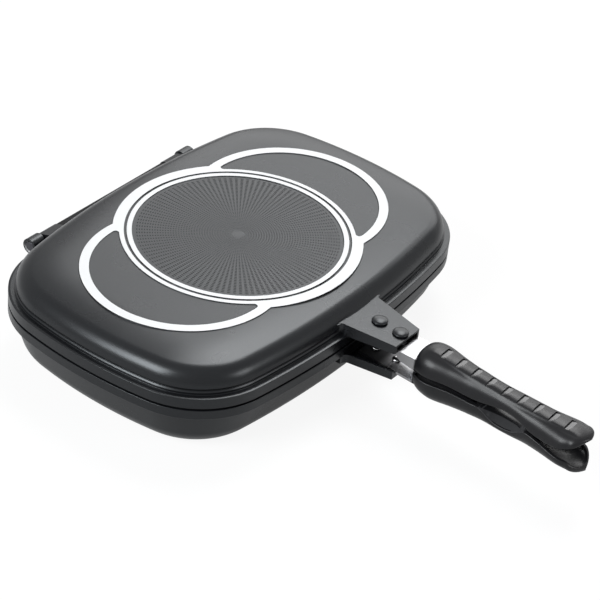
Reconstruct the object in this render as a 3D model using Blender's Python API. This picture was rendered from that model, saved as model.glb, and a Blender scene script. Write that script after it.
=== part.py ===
"""Double sided flip pan: two cast aluminium pans on one hinge, each with its own handle half.

Pan frame used by every function below: X along the hinge, the handle toward -Y, the hinge
toward +Y, and the origin at the pan's centre on the parting plane between the two halves.
The two empties carry that frame into the world, where the pan stands on its lower ribs at z = 0.
"""

import math

import bmesh
import bpy
from mathutils import Matrix

# Outline of both halves, seen from above
PAN_HALF_LENGTH = 0.160
PAN_HALF_DEPTH = 0.1112
SIDE_ARC_RADIUS = 0.329
FRONT_ARC_RADIUS = 0.681
CORNER_RADIUS = 0.062

# Walls, rim and parting gap
WALL = 0.0030
PARTING_GAP = 0.0012
SEAT_GAP = 0.0003
OVERRUN = 0.0020

# Upper half, heights above the parting plane
UPPER_HEIGHT = 0.0259
UPPER_RIM_RISE = 0.0091
LEDGE_RISE = 0.0023
LEDGE_WIDTH = 0.0050
UPPER_SHOULDER_RADIUS = 0.0136
CROWN_RISE = 0.0020
CROWN_INSET_SHARE = 0.70

# Lower half, depths below the parting plane
LOWER_DEPTH = 0.0417
LOWER_RIM_DROP = 0.0077
LOWER_STEP = 0.0033
LOWER_DRAFT_SHARE = 0.31
LOWER_SHOULDER_RADIUS = 0.0210

# Seal groove in the lower rim and the seal in it
GROOVE_INSET = 0.0032
GROOVE_WIDTH = 0.0032
GROOVE_DEPTH = 0.0022

# Raised rings and lobes on both outer faces
RIB_RISE = 0.0006
RIB_ROOT_SHARE = 0.70
INNER_RING_RADIUS = 0.0736
INNER_RING_WIDTH = 0.0035
RING_GROOVE = 0.0020
OUTER_RING_WIDTH = 0.0032
BROAD_RING_WIDTH = 0.0079
LOBE_OFFSET = 0.0594
LOBE_RADIUS = 0.0632
LOBE_WIDTH = 0.0066

# Grill ridges inside the upper half
RIDGE_PITCH = 0.0140
RIDGE_WIDTH = 0.0040
RIDGE_TIP_WIDTH = 0.0020
RIDGE_RISE = 0.0025
RIDGE_MARGIN = 0.0460

# Hinge
HINGE_REACH = 0.0075
HINGE_SIDE = 0.0048
INNER_KNUCKLE_RADIUS = 0.0047
INNER_KNUCKLE_START = 0.0578
INNER_KNUCKLE_WIDTH = 0.0175
OUTER_KNUCKLE_RADIUS = 0.0059
OUTER_KNUCKLE_WIDTH = 0.0112
KNUCKLE_GAP = 0.0010
KNUCKLE_SINK = 0.0008
ROD_RADIUS = 0.0025
ROD_HEAD_RADIUS = 0.0037
ROD_HEAD_RECESS = 0.0003
COUNTERBORE_RADIUS = 0.0044
COUNTERBORE_DEPTH = 0.0018
SLEEVE_RADIUS = 0.0043

# Handle brackets cast on each half
BRACKET_LENGTH = 0.0348
BRACKET_END_HALF_WIDTH = 0.0136
BRACKET_ROOT_HALF_WIDTH = 0.0196
BRACKET_FLARE = 0.0050
BRACKET_WALL = 0.0019
BRACKET_PLATE = 0.0016
UPPER_BRACKET_TOP = 0.0150
UPPER_BRACKET_RISE = 0.0022
UPPER_BRACKET_HEIGHT = 0.0066
LOWER_BRACKET_TOP = 0.0063
LOWER_BRACKET_HEIGHT = 0.0065

# Rivets
RIVET_INSET = 0.0060
RIVET_PITCH = 0.0172
RIVET_RADIUS = 0.0022
RIVET_HEAD_RADIUS = 0.0054
RIVET_HEAD_RISE = 0.0020
RIVET_TAIL_RADIUS = 0.0033
RIVET_TAIL_RISE = 0.0015
BOSS_RADIUS = 0.0048

# Steel shanks between bracket and grip
SHANK_HALF_WIDTH = 0.0113
SHANK_THICKNESS = 0.0018
SHANK_INNER_GAP = 0.0030
UPPER_SHANK_TOP = 0.0108
FLANGE_DEPTH = 0.0097
FLANGE_ROOT_DEPTH = 0.0074
FLANGE_STUB = 0.0022
FLANGE_RAMP = 0.0060
FLANGE_REACH = 0.0045
LOWER_SHANK_DROP = 0.0052
LOWER_SHANK_FALL = 0.0018
TANG_HALF_WIDTH = 0.0070
TANG_LENGTH = 0.0500
TANG_NARROWING = 0.0030

# Grips
NECK_LENGTH = 0.0132
GRIP_LENGTH = 0.1313
GRIP_HALF_WIDTH = 0.0155
GRIP_HEIGHT = 0.0202
GRIP_MOUTH_DEPTH = 0.0080
GRIP_SECTION_POWER = 2.3
NOTCH_COUNT = 9
NOTCH_START = 0.0165
NOTCH_PITCH = 0.01212
NOTCH_LENGTH = 0.0050
NOTCH_HALF_WIDTH = 0.0052
NOTCH_DEPTH = 0.0010
TROUGH_HALF_WIDTH = 0.0125
TROUGH_HALF_LENGTH = 0.0200
UPPER_TROUGH_DEPTH = 0.0075
LOWER_TROUGH_DEPTH = 0.0085
TROUGH_WALL = 0.0025

# Grip screws and magnets
SCREW_RADIUS = 0.0018
SCREW_HEAD_RADIUS = 0.0034
SCREW_HEAD_RISE = 0.0018
SCREW_BITE = 0.0022
SCREW_END_MARGIN = 0.0080
MAGNET_LENGTH = 0.0200
MAGNET_HEIGHT = 0.0040
MAGNET_SETBACK = 0.0150

# Steps round each curve
SIDE_STEPS = 3
CORNER_STEPS = 7
FRONT_STEPS = 4
SHOULDER_STEPS = 5
INNER_SHOULDER_STEPS = 3
RING_STEPS = 48
ROUND_STEPS = 16
KNUCKLE_STEPS = 10
FLARE_STEPS = 4
GRIP_STEPS = 12

# Places along each grip as shares: how far back, half width, crown height, edge height
UPPER_GRIP_SHARES = (
    (0.000, 0.58, 0.64, 0.20),
    (0.006, 0.71, 0.74, 0.20),
    (0.021, 0.84, 0.85, 0.21),
    (0.046, 0.94, 0.94, 0.22),
    (0.075, 0.99, 0.99, 0.22),
    (0.113, 1.00, 0.99, 0.22),
    (0.160, 0.93, 0.96, 0.22),
    (0.204, 0.86, 0.92, 0.21),
    (0.250, 0.80, 0.89, 0.19),
    (0.300, 0.75, 0.85, 0.15),
    (0.350, 0.71, 0.83, 0.13),
    (0.400, 0.66, 0.80, 0.13),
    (0.440, 0.63, 0.78, 0.16),
    (0.480, 0.61, 0.76, 0.20),
    (0.530, 0.61, 0.74, 0.25),
    (0.580, 0.64, 0.73, 0.25),
    (0.620, 0.68, 0.72, 0.22),
    (0.670, 0.74, 0.71, 0.14),
    (0.710, 0.78, 0.71, 0.06),
    (0.760, 0.83, 0.70, 0.03),
    (0.800, 0.88, 0.70, 0.03),
    (0.850, 0.93, 0.70, 0.06),
    (0.890, 0.94, 0.69, 0.12),
    (0.930, 0.84, 0.67, 0.22),
    (0.960, 0.68, 0.64, 0.32),
    (0.982, 0.45, 0.60, 0.43),
    (1.000, 0.14, 0.54, 0.49),
)
LOWER_GRIP_SHARES = (
    (0.000, 0.58, 0.50, 0.04),
    (0.006, 0.71, 0.59, 0.03),
    (0.021, 0.84, 0.70, 0.02),
    (0.046, 0.94, 0.79, 0.01),
    (0.075, 0.99, 0.85, 0.01),
    (0.113, 1.00, 0.90, 0.01),
    (0.160, 0.93, 0.90, 0.01),
    (0.204, 0.86, 0.87, 0.01),
    (0.250, 0.80, 0.84, 0.02),
    (0.300, 0.75, 0.81, 0.05),
    (0.350, 0.71, 0.79, 0.08),
    (0.400, 0.66, 0.78, 0.10),
    (0.440, 0.63, 0.76, 0.25),
    (0.480, 0.61, 0.74, 0.39),
    (0.530, 0.61, 0.74, 0.44),
    (0.580, 0.64, 0.74, 0.40),
    (0.620, 0.68, 0.74, 0.31),
    (0.670, 0.74, 0.76, 0.08),
    (0.710, 0.78, 0.76, 0.08),
    (0.760, 0.83, 0.76, 0.13),
    (0.800, 0.88, 0.76, 0.17),
    (0.850, 0.93, 0.77, 0.24),
    (0.890, 0.94, 0.78, 0.28),
    (0.930, 0.84, 0.82, 0.33),
    (0.960, 0.68, 0.83, 0.45),
    (0.982, 0.45, 0.81, 0.57),
    (1.000, 0.14, 0.78, 0.66),
)

# The raised middle between the lower grip's finger scallops: how far back, and the slope's
# length as a share of the edge's drop
SCALLOP_MARGIN = 0.0014
SCALLOP_SLOPE = 0.84
SCALLOP_SHARES = (
    (0.400, 0.05), (0.440, 0.38), (0.480, 0.48), (0.530, 0.51), (0.580, 0.51), (0.620, 0.48), (0.670, 0.12))

# Profiles of rivet heads, rivet tails and screw heads as shares of radius and rise
RIVET_HEAD_SHARES = ((0.45, 1.00), (0.82, 0.72), (1.00, 0.30))
RIVET_TAIL_SHARES = ((0.80, 0.75), (0.40, 1.00))
SCREW_HEAD_SHARES = ((0.75, 1.00), (1.00, 0.60))

# Places worked out from the sizes above
HINGE_Y = PAN_HALF_DEPTH + HINGE_REACH
BRACKET_END = PAN_HALF_DEPTH + BRACKET_LENGTH
GRIP_FRONT = BRACKET_END + NECK_LENGTH
GRIP_END = GRIP_FRONT + GRIP_LENGTH
SHANK_START = PAN_HALF_DEPTH + BRACKET_WALL + SHANK_INNER_GAP
TANG_START = GRIP_FRONT + GRIP_MOUTH_DEPTH
TANG_END = GRIP_FRONT + TANG_LENGTH
PARTING_HEIGHT = LOWER_DEPTH + RIB_RISE
PAN_SHIFT = (GRIP_END - HINGE_Y - OUTER_KNUCKLE_RADIUS) / 2
RIM_FACE = PARTING_GAP / 2
RIM_INSET = LEDGE_WIDTH + WALL
CROWN_INSET = CORNER_RADIUS * CROWN_INSET_SHARE
KNUCKLE_INNER_END = INNER_KNUCKLE_START + INNER_KNUCKLE_WIDTH
KNUCKLE_OUTER_START = KNUCKLE_INNER_END + KNUCKLE_GAP
KNUCKLE_OUTER_END = KNUCKLE_OUTER_START + OUTER_KNUCKLE_WIDTH
SIDE_CENTRE = PAN_HALF_LENGTH - SIDE_ARC_RADIUS
FRONT_CENTRE = PAN_HALF_DEPTH - FRONT_ARC_RADIUS
RIVET_PLACES = (-BRACKET_END + RIVET_INSET, -BRACKET_END + RIVET_INSET + RIVET_PITCH)
RIVET_HOLE = RIVET_RADIUS + SEAT_GAP


def clear_scene():
    for obj in list(bpy.data.objects):
        bpy.data.objects.remove(obj, do_unlink=True)


# Plane geometry

def arc(centre_x, centre_y, radius, start, end, steps):
    """Points of an arc, both ends included."""
    turn = (end - start) / steps
    return [
        (centre_x + radius * math.cos(start + turn * i), centre_y + radius * math.sin(start + turn * i))
        for i in range(steps + 1)
    ]


def circle(centre_x, centre_y, radius, steps):
    return arc(centre_x, centre_y, radius, 0, math.tau, steps)[:-1]


def touch_point(point, centre, radius, side):
    """Where the line from a point touches a circle, on its left (1) or right (-1) side."""
    dx = centre[0] - point[0]
    dy = centre[1] - point[1]
    distance = max(math.hypot(dx, dy), radius)
    heading = math.atan2(dy, dx) + side * math.asin(radius / distance)
    reach = math.sqrt(distance * distance - radius * radius)
    return point[0] + reach * math.cos(heading), point[1] + reach * math.sin(heading)


def corner_centre():
    """Centre of the corner arc, which touches the side arc and the front arc."""
    side = SIDE_ARC_RADIUS - CORNER_RADIUS
    front = FRONT_ARC_RADIUS - CORNER_RADIUS
    span = math.hypot(SIDE_CENTRE, FRONT_CENTRE)
    along = (side * side - front * front + span * span) / (2 * span)
    across = math.sqrt(side * side - along * along)
    ux = -SIDE_CENTRE / span
    uy = FRONT_CENTRE / span
    return SIDE_CENTRE + along * ux - across * uy, along * uy + across * ux


def outline(inset):
    """The pan's outline moved inward by an inset, anticlockwise from its +X end."""
    x, y = corner_centre()
    side_turn = math.atan2(y, x - SIDE_CENTRE)
    front_turn = math.atan2(y - FRONT_CENTRE, x)
    side = arc(SIDE_CENTRE, 0, SIDE_ARC_RADIUS - inset, 0, side_turn, SIDE_STEPS)
    corner = arc(x, y, CORNER_RADIUS - inset, side_turn, front_turn, CORNER_STEPS)
    front = arc(0, FRONT_CENTRE, FRONT_ARC_RADIUS - inset, front_turn, math.pi / 2, FRONT_STEPS)
    quarter = side[:-1] + corner[:-1] + front
    second = [(-a, b) for a, b in reversed(quarter[:-1])]
    third = [(-a, -b) for a, b in quarter[1:]]
    fourth = [(a, -b) for a, b in reversed(quarter[1:-1])]
    return quarter + second + third + fourth


def edge_depth(x, inset=0):
    """How far the outline's long edge, moved inward, lies from the centre line at a place along X."""
    radius = FRONT_ARC_RADIUS - inset
    return FRONT_CENTRE + math.sqrt(radius * radius - x * x)


# Meshes

def finish_mesh(name, bm):
    bmesh.ops.recalc_face_normals(bm, faces=bm.faces)
    mesh = bpy.data.meshes.new(name)
    bm.to_mesh(mesh)
    bm.free()
    return mesh


def join_rings(bm, rings, closed):
    """Quads between rings of as many vertices; the last ring meets the first when closed."""
    pairs = list(zip(rings, rings[1:]))
    if closed:
        pairs.append((rings[-1], rings[0]))
    count = len(rings[0])
    for low, high in pairs:
        for i in range(count):
            j = (i + 1) % count
            bm.faces.new((low[i], low[j], high[j], high[i]))
    if not closed:
        bm.faces.new(rings[0])
        bm.faces.new(rings[-1])


def ring_mesh(name, rings, closed=False):
    """A solid from rings of (x, y, z) points, with flat ends unless it closes on itself."""
    bm = bmesh.new()
    join_rings(bm, [[bm.verts.new(point) for point in ring] for ring in rings], closed)
    return finish_mesh(name, bm)


def outline_mesh(name, profile, closed=False):
    """A solid whose section is a profile of (inset, z) points carried round the pan's outline."""
    rings = [[(x, y, z) for x, y in outline(inset)] for inset, z in profile]
    return ring_mesh(name, rings, closed)


def turned_mesh(name, profile, steps):
    """A solid turned about Z from a profile of (radius, z) points, top to bottom."""
    rings = [[(x, y, z) for x, y in circle(0, 0, radius, steps)] for radius, z in profile]
    return ring_mesh(name, rings)


def prism_mesh(name, loops, low, high, along="Z"):
    """Flat loops, the first one outer and the rest holes, extruded along Z or X."""
    bm = bmesh.new()
    edges = []
    for loop in loops:
        if along == "Z":
            verts = [bm.verts.new((a, b, low)) for a, b in loop]
        else:
            verts = [bm.verts.new((low, a, b)) for a, b in loop]
        edges += [bm.edges.new((verts[i], verts[i - 1])) for i in range(len(verts))]
    bmesh.ops.triangle_fill(bm, edges=edges, use_beauty=True)
    moved = bmesh.ops.extrude_face_region(bm, geom=list(bm.faces))["geom"]
    shift = (0, 0, high - low) if along == "Z" else (high - low, 0, 0)
    bmesh.ops.translate(bm, vec=shift, verts=[v for v in moved if isinstance(v, bmesh.types.BMVert)])
    return finish_mesh(name, bm)


def box_mesh(name, low, high):
    """A box between two corners."""
    floor = [(low[0], low[1]), (high[0], low[1]), (high[0], high[1]), (low[0], high[1])]
    return prism_mesh(name, [floor], low[2], high[2])


def moved_mesh(mesh, x, y, z):
    mesh.transform(Matrix.Translation((x, y, z)))
    return mesh


# Objects

def make_material(name, colour, metallic, roughness):
    material = bpy.data.materials.new(name)
    material.use_nodes = True
    shader = material.node_tree.nodes["Principled BSDF"]
    shader.inputs["Base Color"].default_value = (*colour, 1)
    shader.inputs["Metallic"].default_value = metallic
    shader.inputs["Roughness"].default_value = roughness
    return material


def make_half(name, y):
    """An empty that carries one half of the pan; its place is the half's turning point."""
    empty = bpy.data.objects.new(name, None)
    empty.location = (0, y + PAN_SHIFT, PARTING_HEIGHT)
    bpy.context.scene.collection.objects.link(empty)
    return empty, y


def add_object(name, mesh, half):
    """An object in the pan frame, with its origin on its half's empty."""
    empty, y = half
    moved_mesh(mesh, 0, -y, 0)
    obj = bpy.data.objects.new(name, mesh)
    obj.parent = empty
    bpy.context.scene.collection.objects.link(obj)
    return obj


def add_part(name, mesh, half, material, smooth=True):
    obj = add_object(name, mesh, half)
    mesh.materials.append(material)
    if smooth:
        mesh.shade_smooth()
        mesh.set_sharp_from_angle(angle=math.radians(30))
    return obj


def shape_with(obj, mesh, half, operation):
    """Adds or cuts a hidden helper shape on an object."""
    helper = add_object(mesh.name, mesh, half)
    helper.hide_render = True
    helper.display_type = "WIRE"
    step = obj.modifiers.new(mesh.name, "BOOLEAN")
    step.operation = operation
    step.object = helper
    step.solver = "EXACT"


# Pan halves

def shoulder(start, centre, radius, end_turn, steps, side):
    """The straight wall from a start point, then the shoulder arc up to its end angle."""
    touch = touch_point(start, centre, radius, side)
    begin = math.atan2(touch[1] - centre[1], touch[0] - centre[0]) % math.tau
    return [start] + arc(centre[0], centre[1], radius, begin, end_turn, steps)


def upper_profile():
    """Section of the upper half from the top's flat, down the outside, and up the inside."""
    centre = (LEDGE_WIDTH + UPPER_SHOULDER_RADIUS, UPPER_HEIGHT - UPPER_SHOULDER_RADIUS)
    lip = (LEDGE_WIDTH, UPPER_RIM_RISE + LEDGE_RISE)
    outer = shoulder(lip, centre, UPPER_SHOULDER_RADIUS, math.pi / 2, SHOULDER_STEPS, 1)
    inner_radius = UPPER_SHOULDER_RADIUS - WALL
    inner = shoulder((RIM_INSET, RIM_FACE), centre, inner_radius, math.pi / 2, INNER_SHOULDER_STEPS, 1)
    top = UPPER_HEIGHT + CROWN_RISE
    down = [(CROWN_INSET, top)] + outer[::-1] + [(0, UPPER_RIM_RISE), (0, RIM_FACE)]
    return down + inner + [(CROWN_INSET, top - WALL)]


def lower_profile():
    """Section of the lower half from the bottom's flat, up the outside, and down the inside."""
    centre_z = LOWER_SHOULDER_RADIUS - LOWER_DEPTH
    lean = LOWER_SHOULDER_RADIUS * math.hypot(1, LOWER_DRAFT_SHARE)
    centre = (LOWER_STEP - LOWER_DRAFT_SHARE * (centre_z + LOWER_RIM_DROP) + lean, centre_z)
    outer = shoulder(
        (LOWER_STEP, -LOWER_RIM_DROP), centre, LOWER_SHOULDER_RADIUS, 3 * math.pi / 2, SHOULDER_STEPS, -1)
    inner_radius = LOWER_SHOULDER_RADIUS - WALL
    inner = shoulder((RIM_INSET, -RIM_FACE), centre, inner_radius, 3 * math.pi / 2, INNER_SHOULDER_STEPS, -1)
    groove_end = GROOVE_INSET + GROOVE_WIDTH
    groove = [
        (GROOVE_INSET, -RIM_FACE),
        (GROOVE_INSET, -RIM_FACE - GROOVE_DEPTH),
        (groove_end, -RIM_FACE - GROOVE_DEPTH),
        (groove_end, -RIM_FACE),
    ]
    return outer[::-1] + [(0, -LOWER_RIM_DROP), (0, -RIM_FACE)] + groove + inner


def mirrored(loop):
    return [(-a, b) for a, b in loop]


def ring_crossing(ring_radius, lobe_radius):
    """Where a ring crosses a lobe's circle: its angle about the pan's centre and about the lobe's."""
    spread = ring_radius * ring_radius - lobe_radius * lobe_radius + LOBE_OFFSET * LOBE_OFFSET
    x = spread / (2 * LOBE_OFFSET)
    y = math.sqrt(ring_radius * ring_radius - x * x)
    return math.atan2(y, x), math.atan2(y, x - LOBE_OFFSET)


def lobe_loops():
    """Loops of the outer ring with its two lobes: the outside, the ring's bore and the two crescents."""
    bore = INNER_RING_RADIUS + INNER_RING_WIDTH + RING_GROOVE
    thin = bore + OUTER_RING_WIDTH
    broad = bore + BROAD_RING_WIDTH
    outside = LOBE_RADIUS + LOBE_WIDTH
    turn, lobe_turn = ring_crossing(broad, outside)
    back = arc(0, 0, broad, turn, math.pi - turn, RING_STEPS // 4)
    lobe = arc(LOBE_OFFSET, 0, outside, -lobe_turn, lobe_turn, RING_STEPS // 2)
    front = [(a, -b) for a, b in reversed(back)]
    left = mirrored(lobe)[::-1]
    rim = back[:-1] + left[:-1] + front[:-1] + lobe[:-1]
    turn, lobe_turn = ring_crossing(thin, LOBE_RADIUS)
    crescent = arc(LOBE_OFFSET, 0, LOBE_RADIUS, -lobe_turn, lobe_turn, RING_STEPS // 2)[:-1]
    crescent += arc(0, 0, thin, turn, -turn, RING_STEPS // 4)[:-1]
    return [rim, circle(0, 0, bore, RING_STEPS), crescent, mirrored(crescent)]


def add_ribs(obj, half, low, high):
    """Raises the rings and lobes on a pan half between two heights."""
    inner = circle(0, 0, INNER_RING_RADIUS, RING_STEPS)
    outer = circle(0, 0, INNER_RING_RADIUS + INNER_RING_WIDTH, RING_STEPS)
    shape_with(obj, prism_mesh("centre_ring_shape", [outer, inner], low, high), half, "UNION")
    shape_with(obj, prism_mesh("lobed_ring_shape", lobe_loops(), low, high), half, "UNION")


def add_ridges(obj, half):
    """Parallel grill ridges that hang from the inside of the upper half."""
    ceiling = UPPER_HEIGHT + CROWN_RISE - WALL
    reach = PAN_HALF_LENGTH - RIDGE_MARGIN
    spread = PAN_HALF_DEPTH - RIDGE_MARGIN
    count = int(2 * spread / RIDGE_PITCH) + 1
    first = -RIDGE_PITCH * (count - 1) / 2
    root = ceiling + WALL / 2
    for i in range(count):
        y = first + RIDGE_PITCH * i
        section = [
            (y - RIDGE_WIDTH / 2, root),
            (y - RIDGE_WIDTH / 2, ceiling),
            (y - RIDGE_TIP_WIDTH / 2, ceiling - RIDGE_RISE),
            (y + RIDGE_TIP_WIDTH / 2, ceiling - RIDGE_RISE),
            (y + RIDGE_WIDTH / 2, ceiling),
            (y + RIDGE_WIDTH / 2, root),
        ]
        shape_with(obj, prism_mesh("grill_ridge_shape", [section], -reach, reach, "X"), half, "UNION")


# Hinge

def knuckle_loop(side, rim_height, radius, reach):
    """Section of a knuckle and its arm in (y, z); side is 1 above the parting plane, -1 below."""
    root = edge_depth(reach) - KNUCKLE_SINK
    touch = touch_point((root, rim_height), (HINGE_Y, 0), radius, 1)
    start = math.pi - math.asin(RIM_FACE / radius)
    end = math.tau + math.atan2(touch[1], touch[0] - HINGE_Y)
    under = arc(HINGE_Y, 0, radius, start, math.tau, KNUCKLE_STEPS)
    over = arc(HINGE_Y, 0, radius, math.tau, end, KNUCKLE_STEPS // 2)
    loop = [(root, RIM_FACE)] + under + over[1:] + [(root, rim_height)]
    return [(a, side * b) for a, b in loop]


def add_knuckles(obj, half, side, rim_height, radius, start, end):
    """Two knuckles on one pan half, one each side of the hinge's middle."""
    for name, low, high in (
            ("left_knuckle_shape", HINGE_SIDE - end, HINGE_SIDE - start),
            ("right_knuckle_shape", HINGE_SIDE + start, HINGE_SIDE + end)):
        loop = knuckle_loop(side, rim_height, radius, max(-low, high))
        shape_with(obj, prism_mesh(name, [loop], low, high, "X"), half, "UNION")


def hinge_turned(name, profile, closed=False):
    """A shape turned about the hinge axis from a profile of (radius, x) points."""
    rings = [[(x, y, z) for y, z in circle(0, 0, radius, ROUND_STEPS)] for radius, x in profile]
    return moved_mesh(ring_mesh(name, rings, closed), HINGE_SIDE, HINGE_Y, 0)


def cut_bore(obj, half):
    """The rod's bore through the knuckles, with a counterbore at each outer end."""
    bore = ROD_RADIUS + SEAT_GAP
    seat = KNUCKLE_OUTER_END - COUNTERBORE_DEPTH
    clear = KNUCKLE_OUTER_END + OVERRUN
    right = [(bore, seat), (COUNTERBORE_RADIUS, seat), (COUNTERBORE_RADIUS, clear)]
    left = [(radius, -x) for radius, x in reversed(right)]
    shape_with(obj, hinge_turned("hinge_bore", left + right), half, "DIFFERENCE")


def make_hinge(lower, steel, black):
    head_in = KNUCKLE_OUTER_END - COUNTERBORE_DEPTH + SEAT_GAP
    head_out = KNUCKLE_OUTER_END - ROD_HEAD_RECESS
    rod = [
        (ROD_HEAD_RADIUS, -head_out),
        (ROD_HEAD_RADIUS, -head_in),
        (ROD_RADIUS, -head_in),
        (ROD_RADIUS, head_out),
    ]
    add_part("hinge_rod", hinge_turned("hinge_rod", rod), lower, steel)
    bore = ROD_RADIUS + SEAT_GAP
    cap = [(bore, head_in), (ROD_HEAD_RADIUS, head_in), (ROD_HEAD_RADIUS, head_out), (bore, head_out)]
    add_part("hinge_rod_cap", hinge_turned("hinge_rod_cap", cap, True), lower, steel)
    reach = INNER_KNUCKLE_START - SEAT_GAP
    sleeve = [(bore, -reach), (SLEEVE_RADIUS, -reach), (SLEEVE_RADIUS, reach), (bore, reach)]
    add_part("hinge_sleeve", hinge_turned("hinge_sleeve", sleeve, True), lower, black)


# Handle brackets

def bracket_half_width(y):
    """Half width of a bracket at a place along Y; its sides are straight."""
    share = (BRACKET_END + y) / BRACKET_LENGTH
    return BRACKET_END_HALF_WIDTH + (BRACKET_ROOT_HALF_WIDTH - BRACKET_END_HALF_WIDTH) * share


def bracket_loop(inset, root_inset):
    """Plan of a bracket: straight sides, then a flare into the pan's wall at an inset."""
    reach = bracket_half_width(-PAN_HALF_DEPTH) + BRACKET_FLARE
    wall = -edge_depth(reach, inset) + SEAT_GAP
    start = wall - BRACKET_FLARE
    half = bracket_half_width(start)
    flare = arc(half + BRACKET_FLARE, start, BRACKET_FLARE, math.pi, math.pi / 2, FLARE_STEPS)
    right = [(BRACKET_END_HALF_WIDTH, -BRACKET_END)] + flare
    right += [(half + BRACKET_FLARE, -edge_depth(0, root_inset))]
    return right + mirrored(right)[::-1]


def hollow_loop(end):
    """Plan of a bracket's hollow from its handle end inward."""
    root = -PAN_HALF_DEPTH - BRACKET_WALL
    far = bracket_half_width(end) - BRACKET_WALL
    near = bracket_half_width(root) - BRACKET_WALL
    return [(-far, end), (far, end), (near, root), (-near, root)]


def upright(name, radius, y, low, high):
    """A round upright shape on the handle's centre line."""
    return moved_mesh(turned_mesh(name, [(radius, high), (radius, low)], ROUND_STEPS), 0, y, 0)


def rivet_hole(name, y, low, high):
    return upright(name, RIVET_HOLE, y, low, high)


def lower_shank_top(y):
    """Height of the lower shank's upper face, which falls toward the grip and is level in it."""
    share = min(1, (-y - SHANK_START) / (GRIP_FRONT - SHANK_START))
    return -LOWER_SHANK_DROP - LOWER_SHANK_FALL * share


def bracket_top(y):
    """Height of the upper bracket's top face, which rises toward the pan."""
    return UPPER_BRACKET_TOP + UPPER_BRACKET_RISE * (BRACKET_END + y) / BRACKET_LENGTH


def sloped_mesh(name, loop, low, drop):
    """A loop extruded from a low height to a set drop below the upper bracket's top face."""
    return ring_mesh(name, [[(x, y, low) for x, y in loop], [(x, y, bracket_top(y) - drop) for x, y in loop]])


def add_upper_bracket(obj, half):
    low = UPPER_BRACKET_TOP - UPPER_BRACKET_HEIGHT
    plan = bracket_loop(LEDGE_WIDTH, LEDGE_WIDTH + WALL / 2)
    shape_with(obj, sloped_mesh("upper_bracket_shape", plan, low, 0), half, "UNION")
    space = hollow_loop(-BRACKET_END - OVERRUN)
    hollow = sloped_mesh("upper_bracket_hollow", space, low - OVERRUN, BRACKET_PLATE)
    shape_with(obj, hollow, half, "DIFFERENCE")
    for y in RIVET_PLACES:
        boss = upright("upper_rivet_boss", BOSS_RADIUS, y, low, bracket_top(y) - BRACKET_PLATE / 2)
        shape_with(obj, boss, half, "UNION")
    side = SHANK_HALF_WIDTH + SEAT_GAP
    seat = box_mesh(
        "upper_shank_seat",
        (-side, -BRACKET_END - OVERRUN, low - OVERRUN),
        (side, -SHANK_START + SEAT_GAP, UPPER_SHANK_TOP + SEAT_GAP))
    shape_with(obj, seat, half, "DIFFERENCE")
    for y in RIVET_PLACES:
        hole = rivet_hole("upper_rivet_hole", y, UPPER_SHANK_TOP, bracket_top(y) + OVERRUN)
        shape_with(obj, hole, half, "DIFFERENCE")


def add_lower_bracket(obj, half):
    top = -LOWER_BRACKET_TOP
    low = top - LOWER_BRACKET_HEIGHT
    plan = bracket_loop(0, RIM_INSET - WALL / 2)
    shape_with(obj, prism_mesh("lower_bracket_shape", [plan], low, top), half, "UNION")
    floor = low + BRACKET_PLATE
    space = hollow_loop(-BRACKET_END + BRACKET_WALL)
    hollow = prism_mesh("lower_bracket_hollow", [space], floor, top + OVERRUN)
    shape_with(obj, hollow, half, "DIFFERENCE")
    for y in RIVET_PLACES:
        boss = upright("lower_rivet_boss", BOSS_RADIUS, y, floor - BRACKET_PLATE / 2, top - SHANK_THICKNESS)
        shape_with(obj, boss, half, "UNION")
    side = SHANK_HALF_WIDTH + SEAT_GAP
    far = -BRACKET_END - OVERRUN
    near = -SHANK_START + SEAT_GAP
    under = SHANK_THICKNESS + SEAT_GAP
    section = [
        (far, lower_shank_top(far) - under),
        (near, lower_shank_top(-SHANK_START) - under),
        (near, top + OVERRUN),
        (far, top + OVERRUN),
    ]
    shape_with(obj, prism_mesh("lower_shank_seat", [section], -side, side, "X"), half, "DIFFERENCE")
    for y in RIVET_PLACES:
        hole = rivet_hole("lower_rivet_hole", y, low - OVERRUN, top)
        shape_with(obj, hole, half, "DIFFERENCE")


# Rivets

def rivet_mesh(name, y, head_seat, tail_seat):
    """A rivet with its domed head on the head seat and its formed tail past the tail seat."""
    up = 1 if head_seat > tail_seat else -1
    head = head_seat + up * SEAT_GAP
    tail = tail_seat - up * SEAT_GAP
    dome = [(RIVET_HEAD_RADIUS * a, head + up * RIVET_HEAD_RISE * b) for a, b in RIVET_HEAD_SHARES]
    shaft = [(RIVET_HEAD_RADIUS, head), (RIVET_RADIUS, head), (RIVET_RADIUS, tail), (RIVET_TAIL_RADIUS, tail)]
    foot = [(RIVET_TAIL_RADIUS * a, tail - up * RIVET_TAIL_RISE * b) for a, b in RIVET_TAIL_SHARES]
    profile = dome + shaft + foot
    return moved_mesh(turned_mesh(name, profile, ROUND_STEPS), 0, y, 0)


# Shanks

def section_rings(stations):
    """Rings across Y from stations of (y, list of (x, z) points)."""
    return [[(x, y, z) for x, z in section] for y, section in stations]


def channel_section(half, depth):
    """Section of the upper shank: a flat top with a flange down each side."""
    top = UPPER_SHANK_TOP
    inner = half - SHANK_THICKNESS
    right = [(half, top - depth), (half, top)]
    inside = [(-inner, top - depth), (-inner, top - SHANK_THICKNESS)]
    return right + mirrored(right)[::-1] + inside + mirrored(inside)[::-1]


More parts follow.
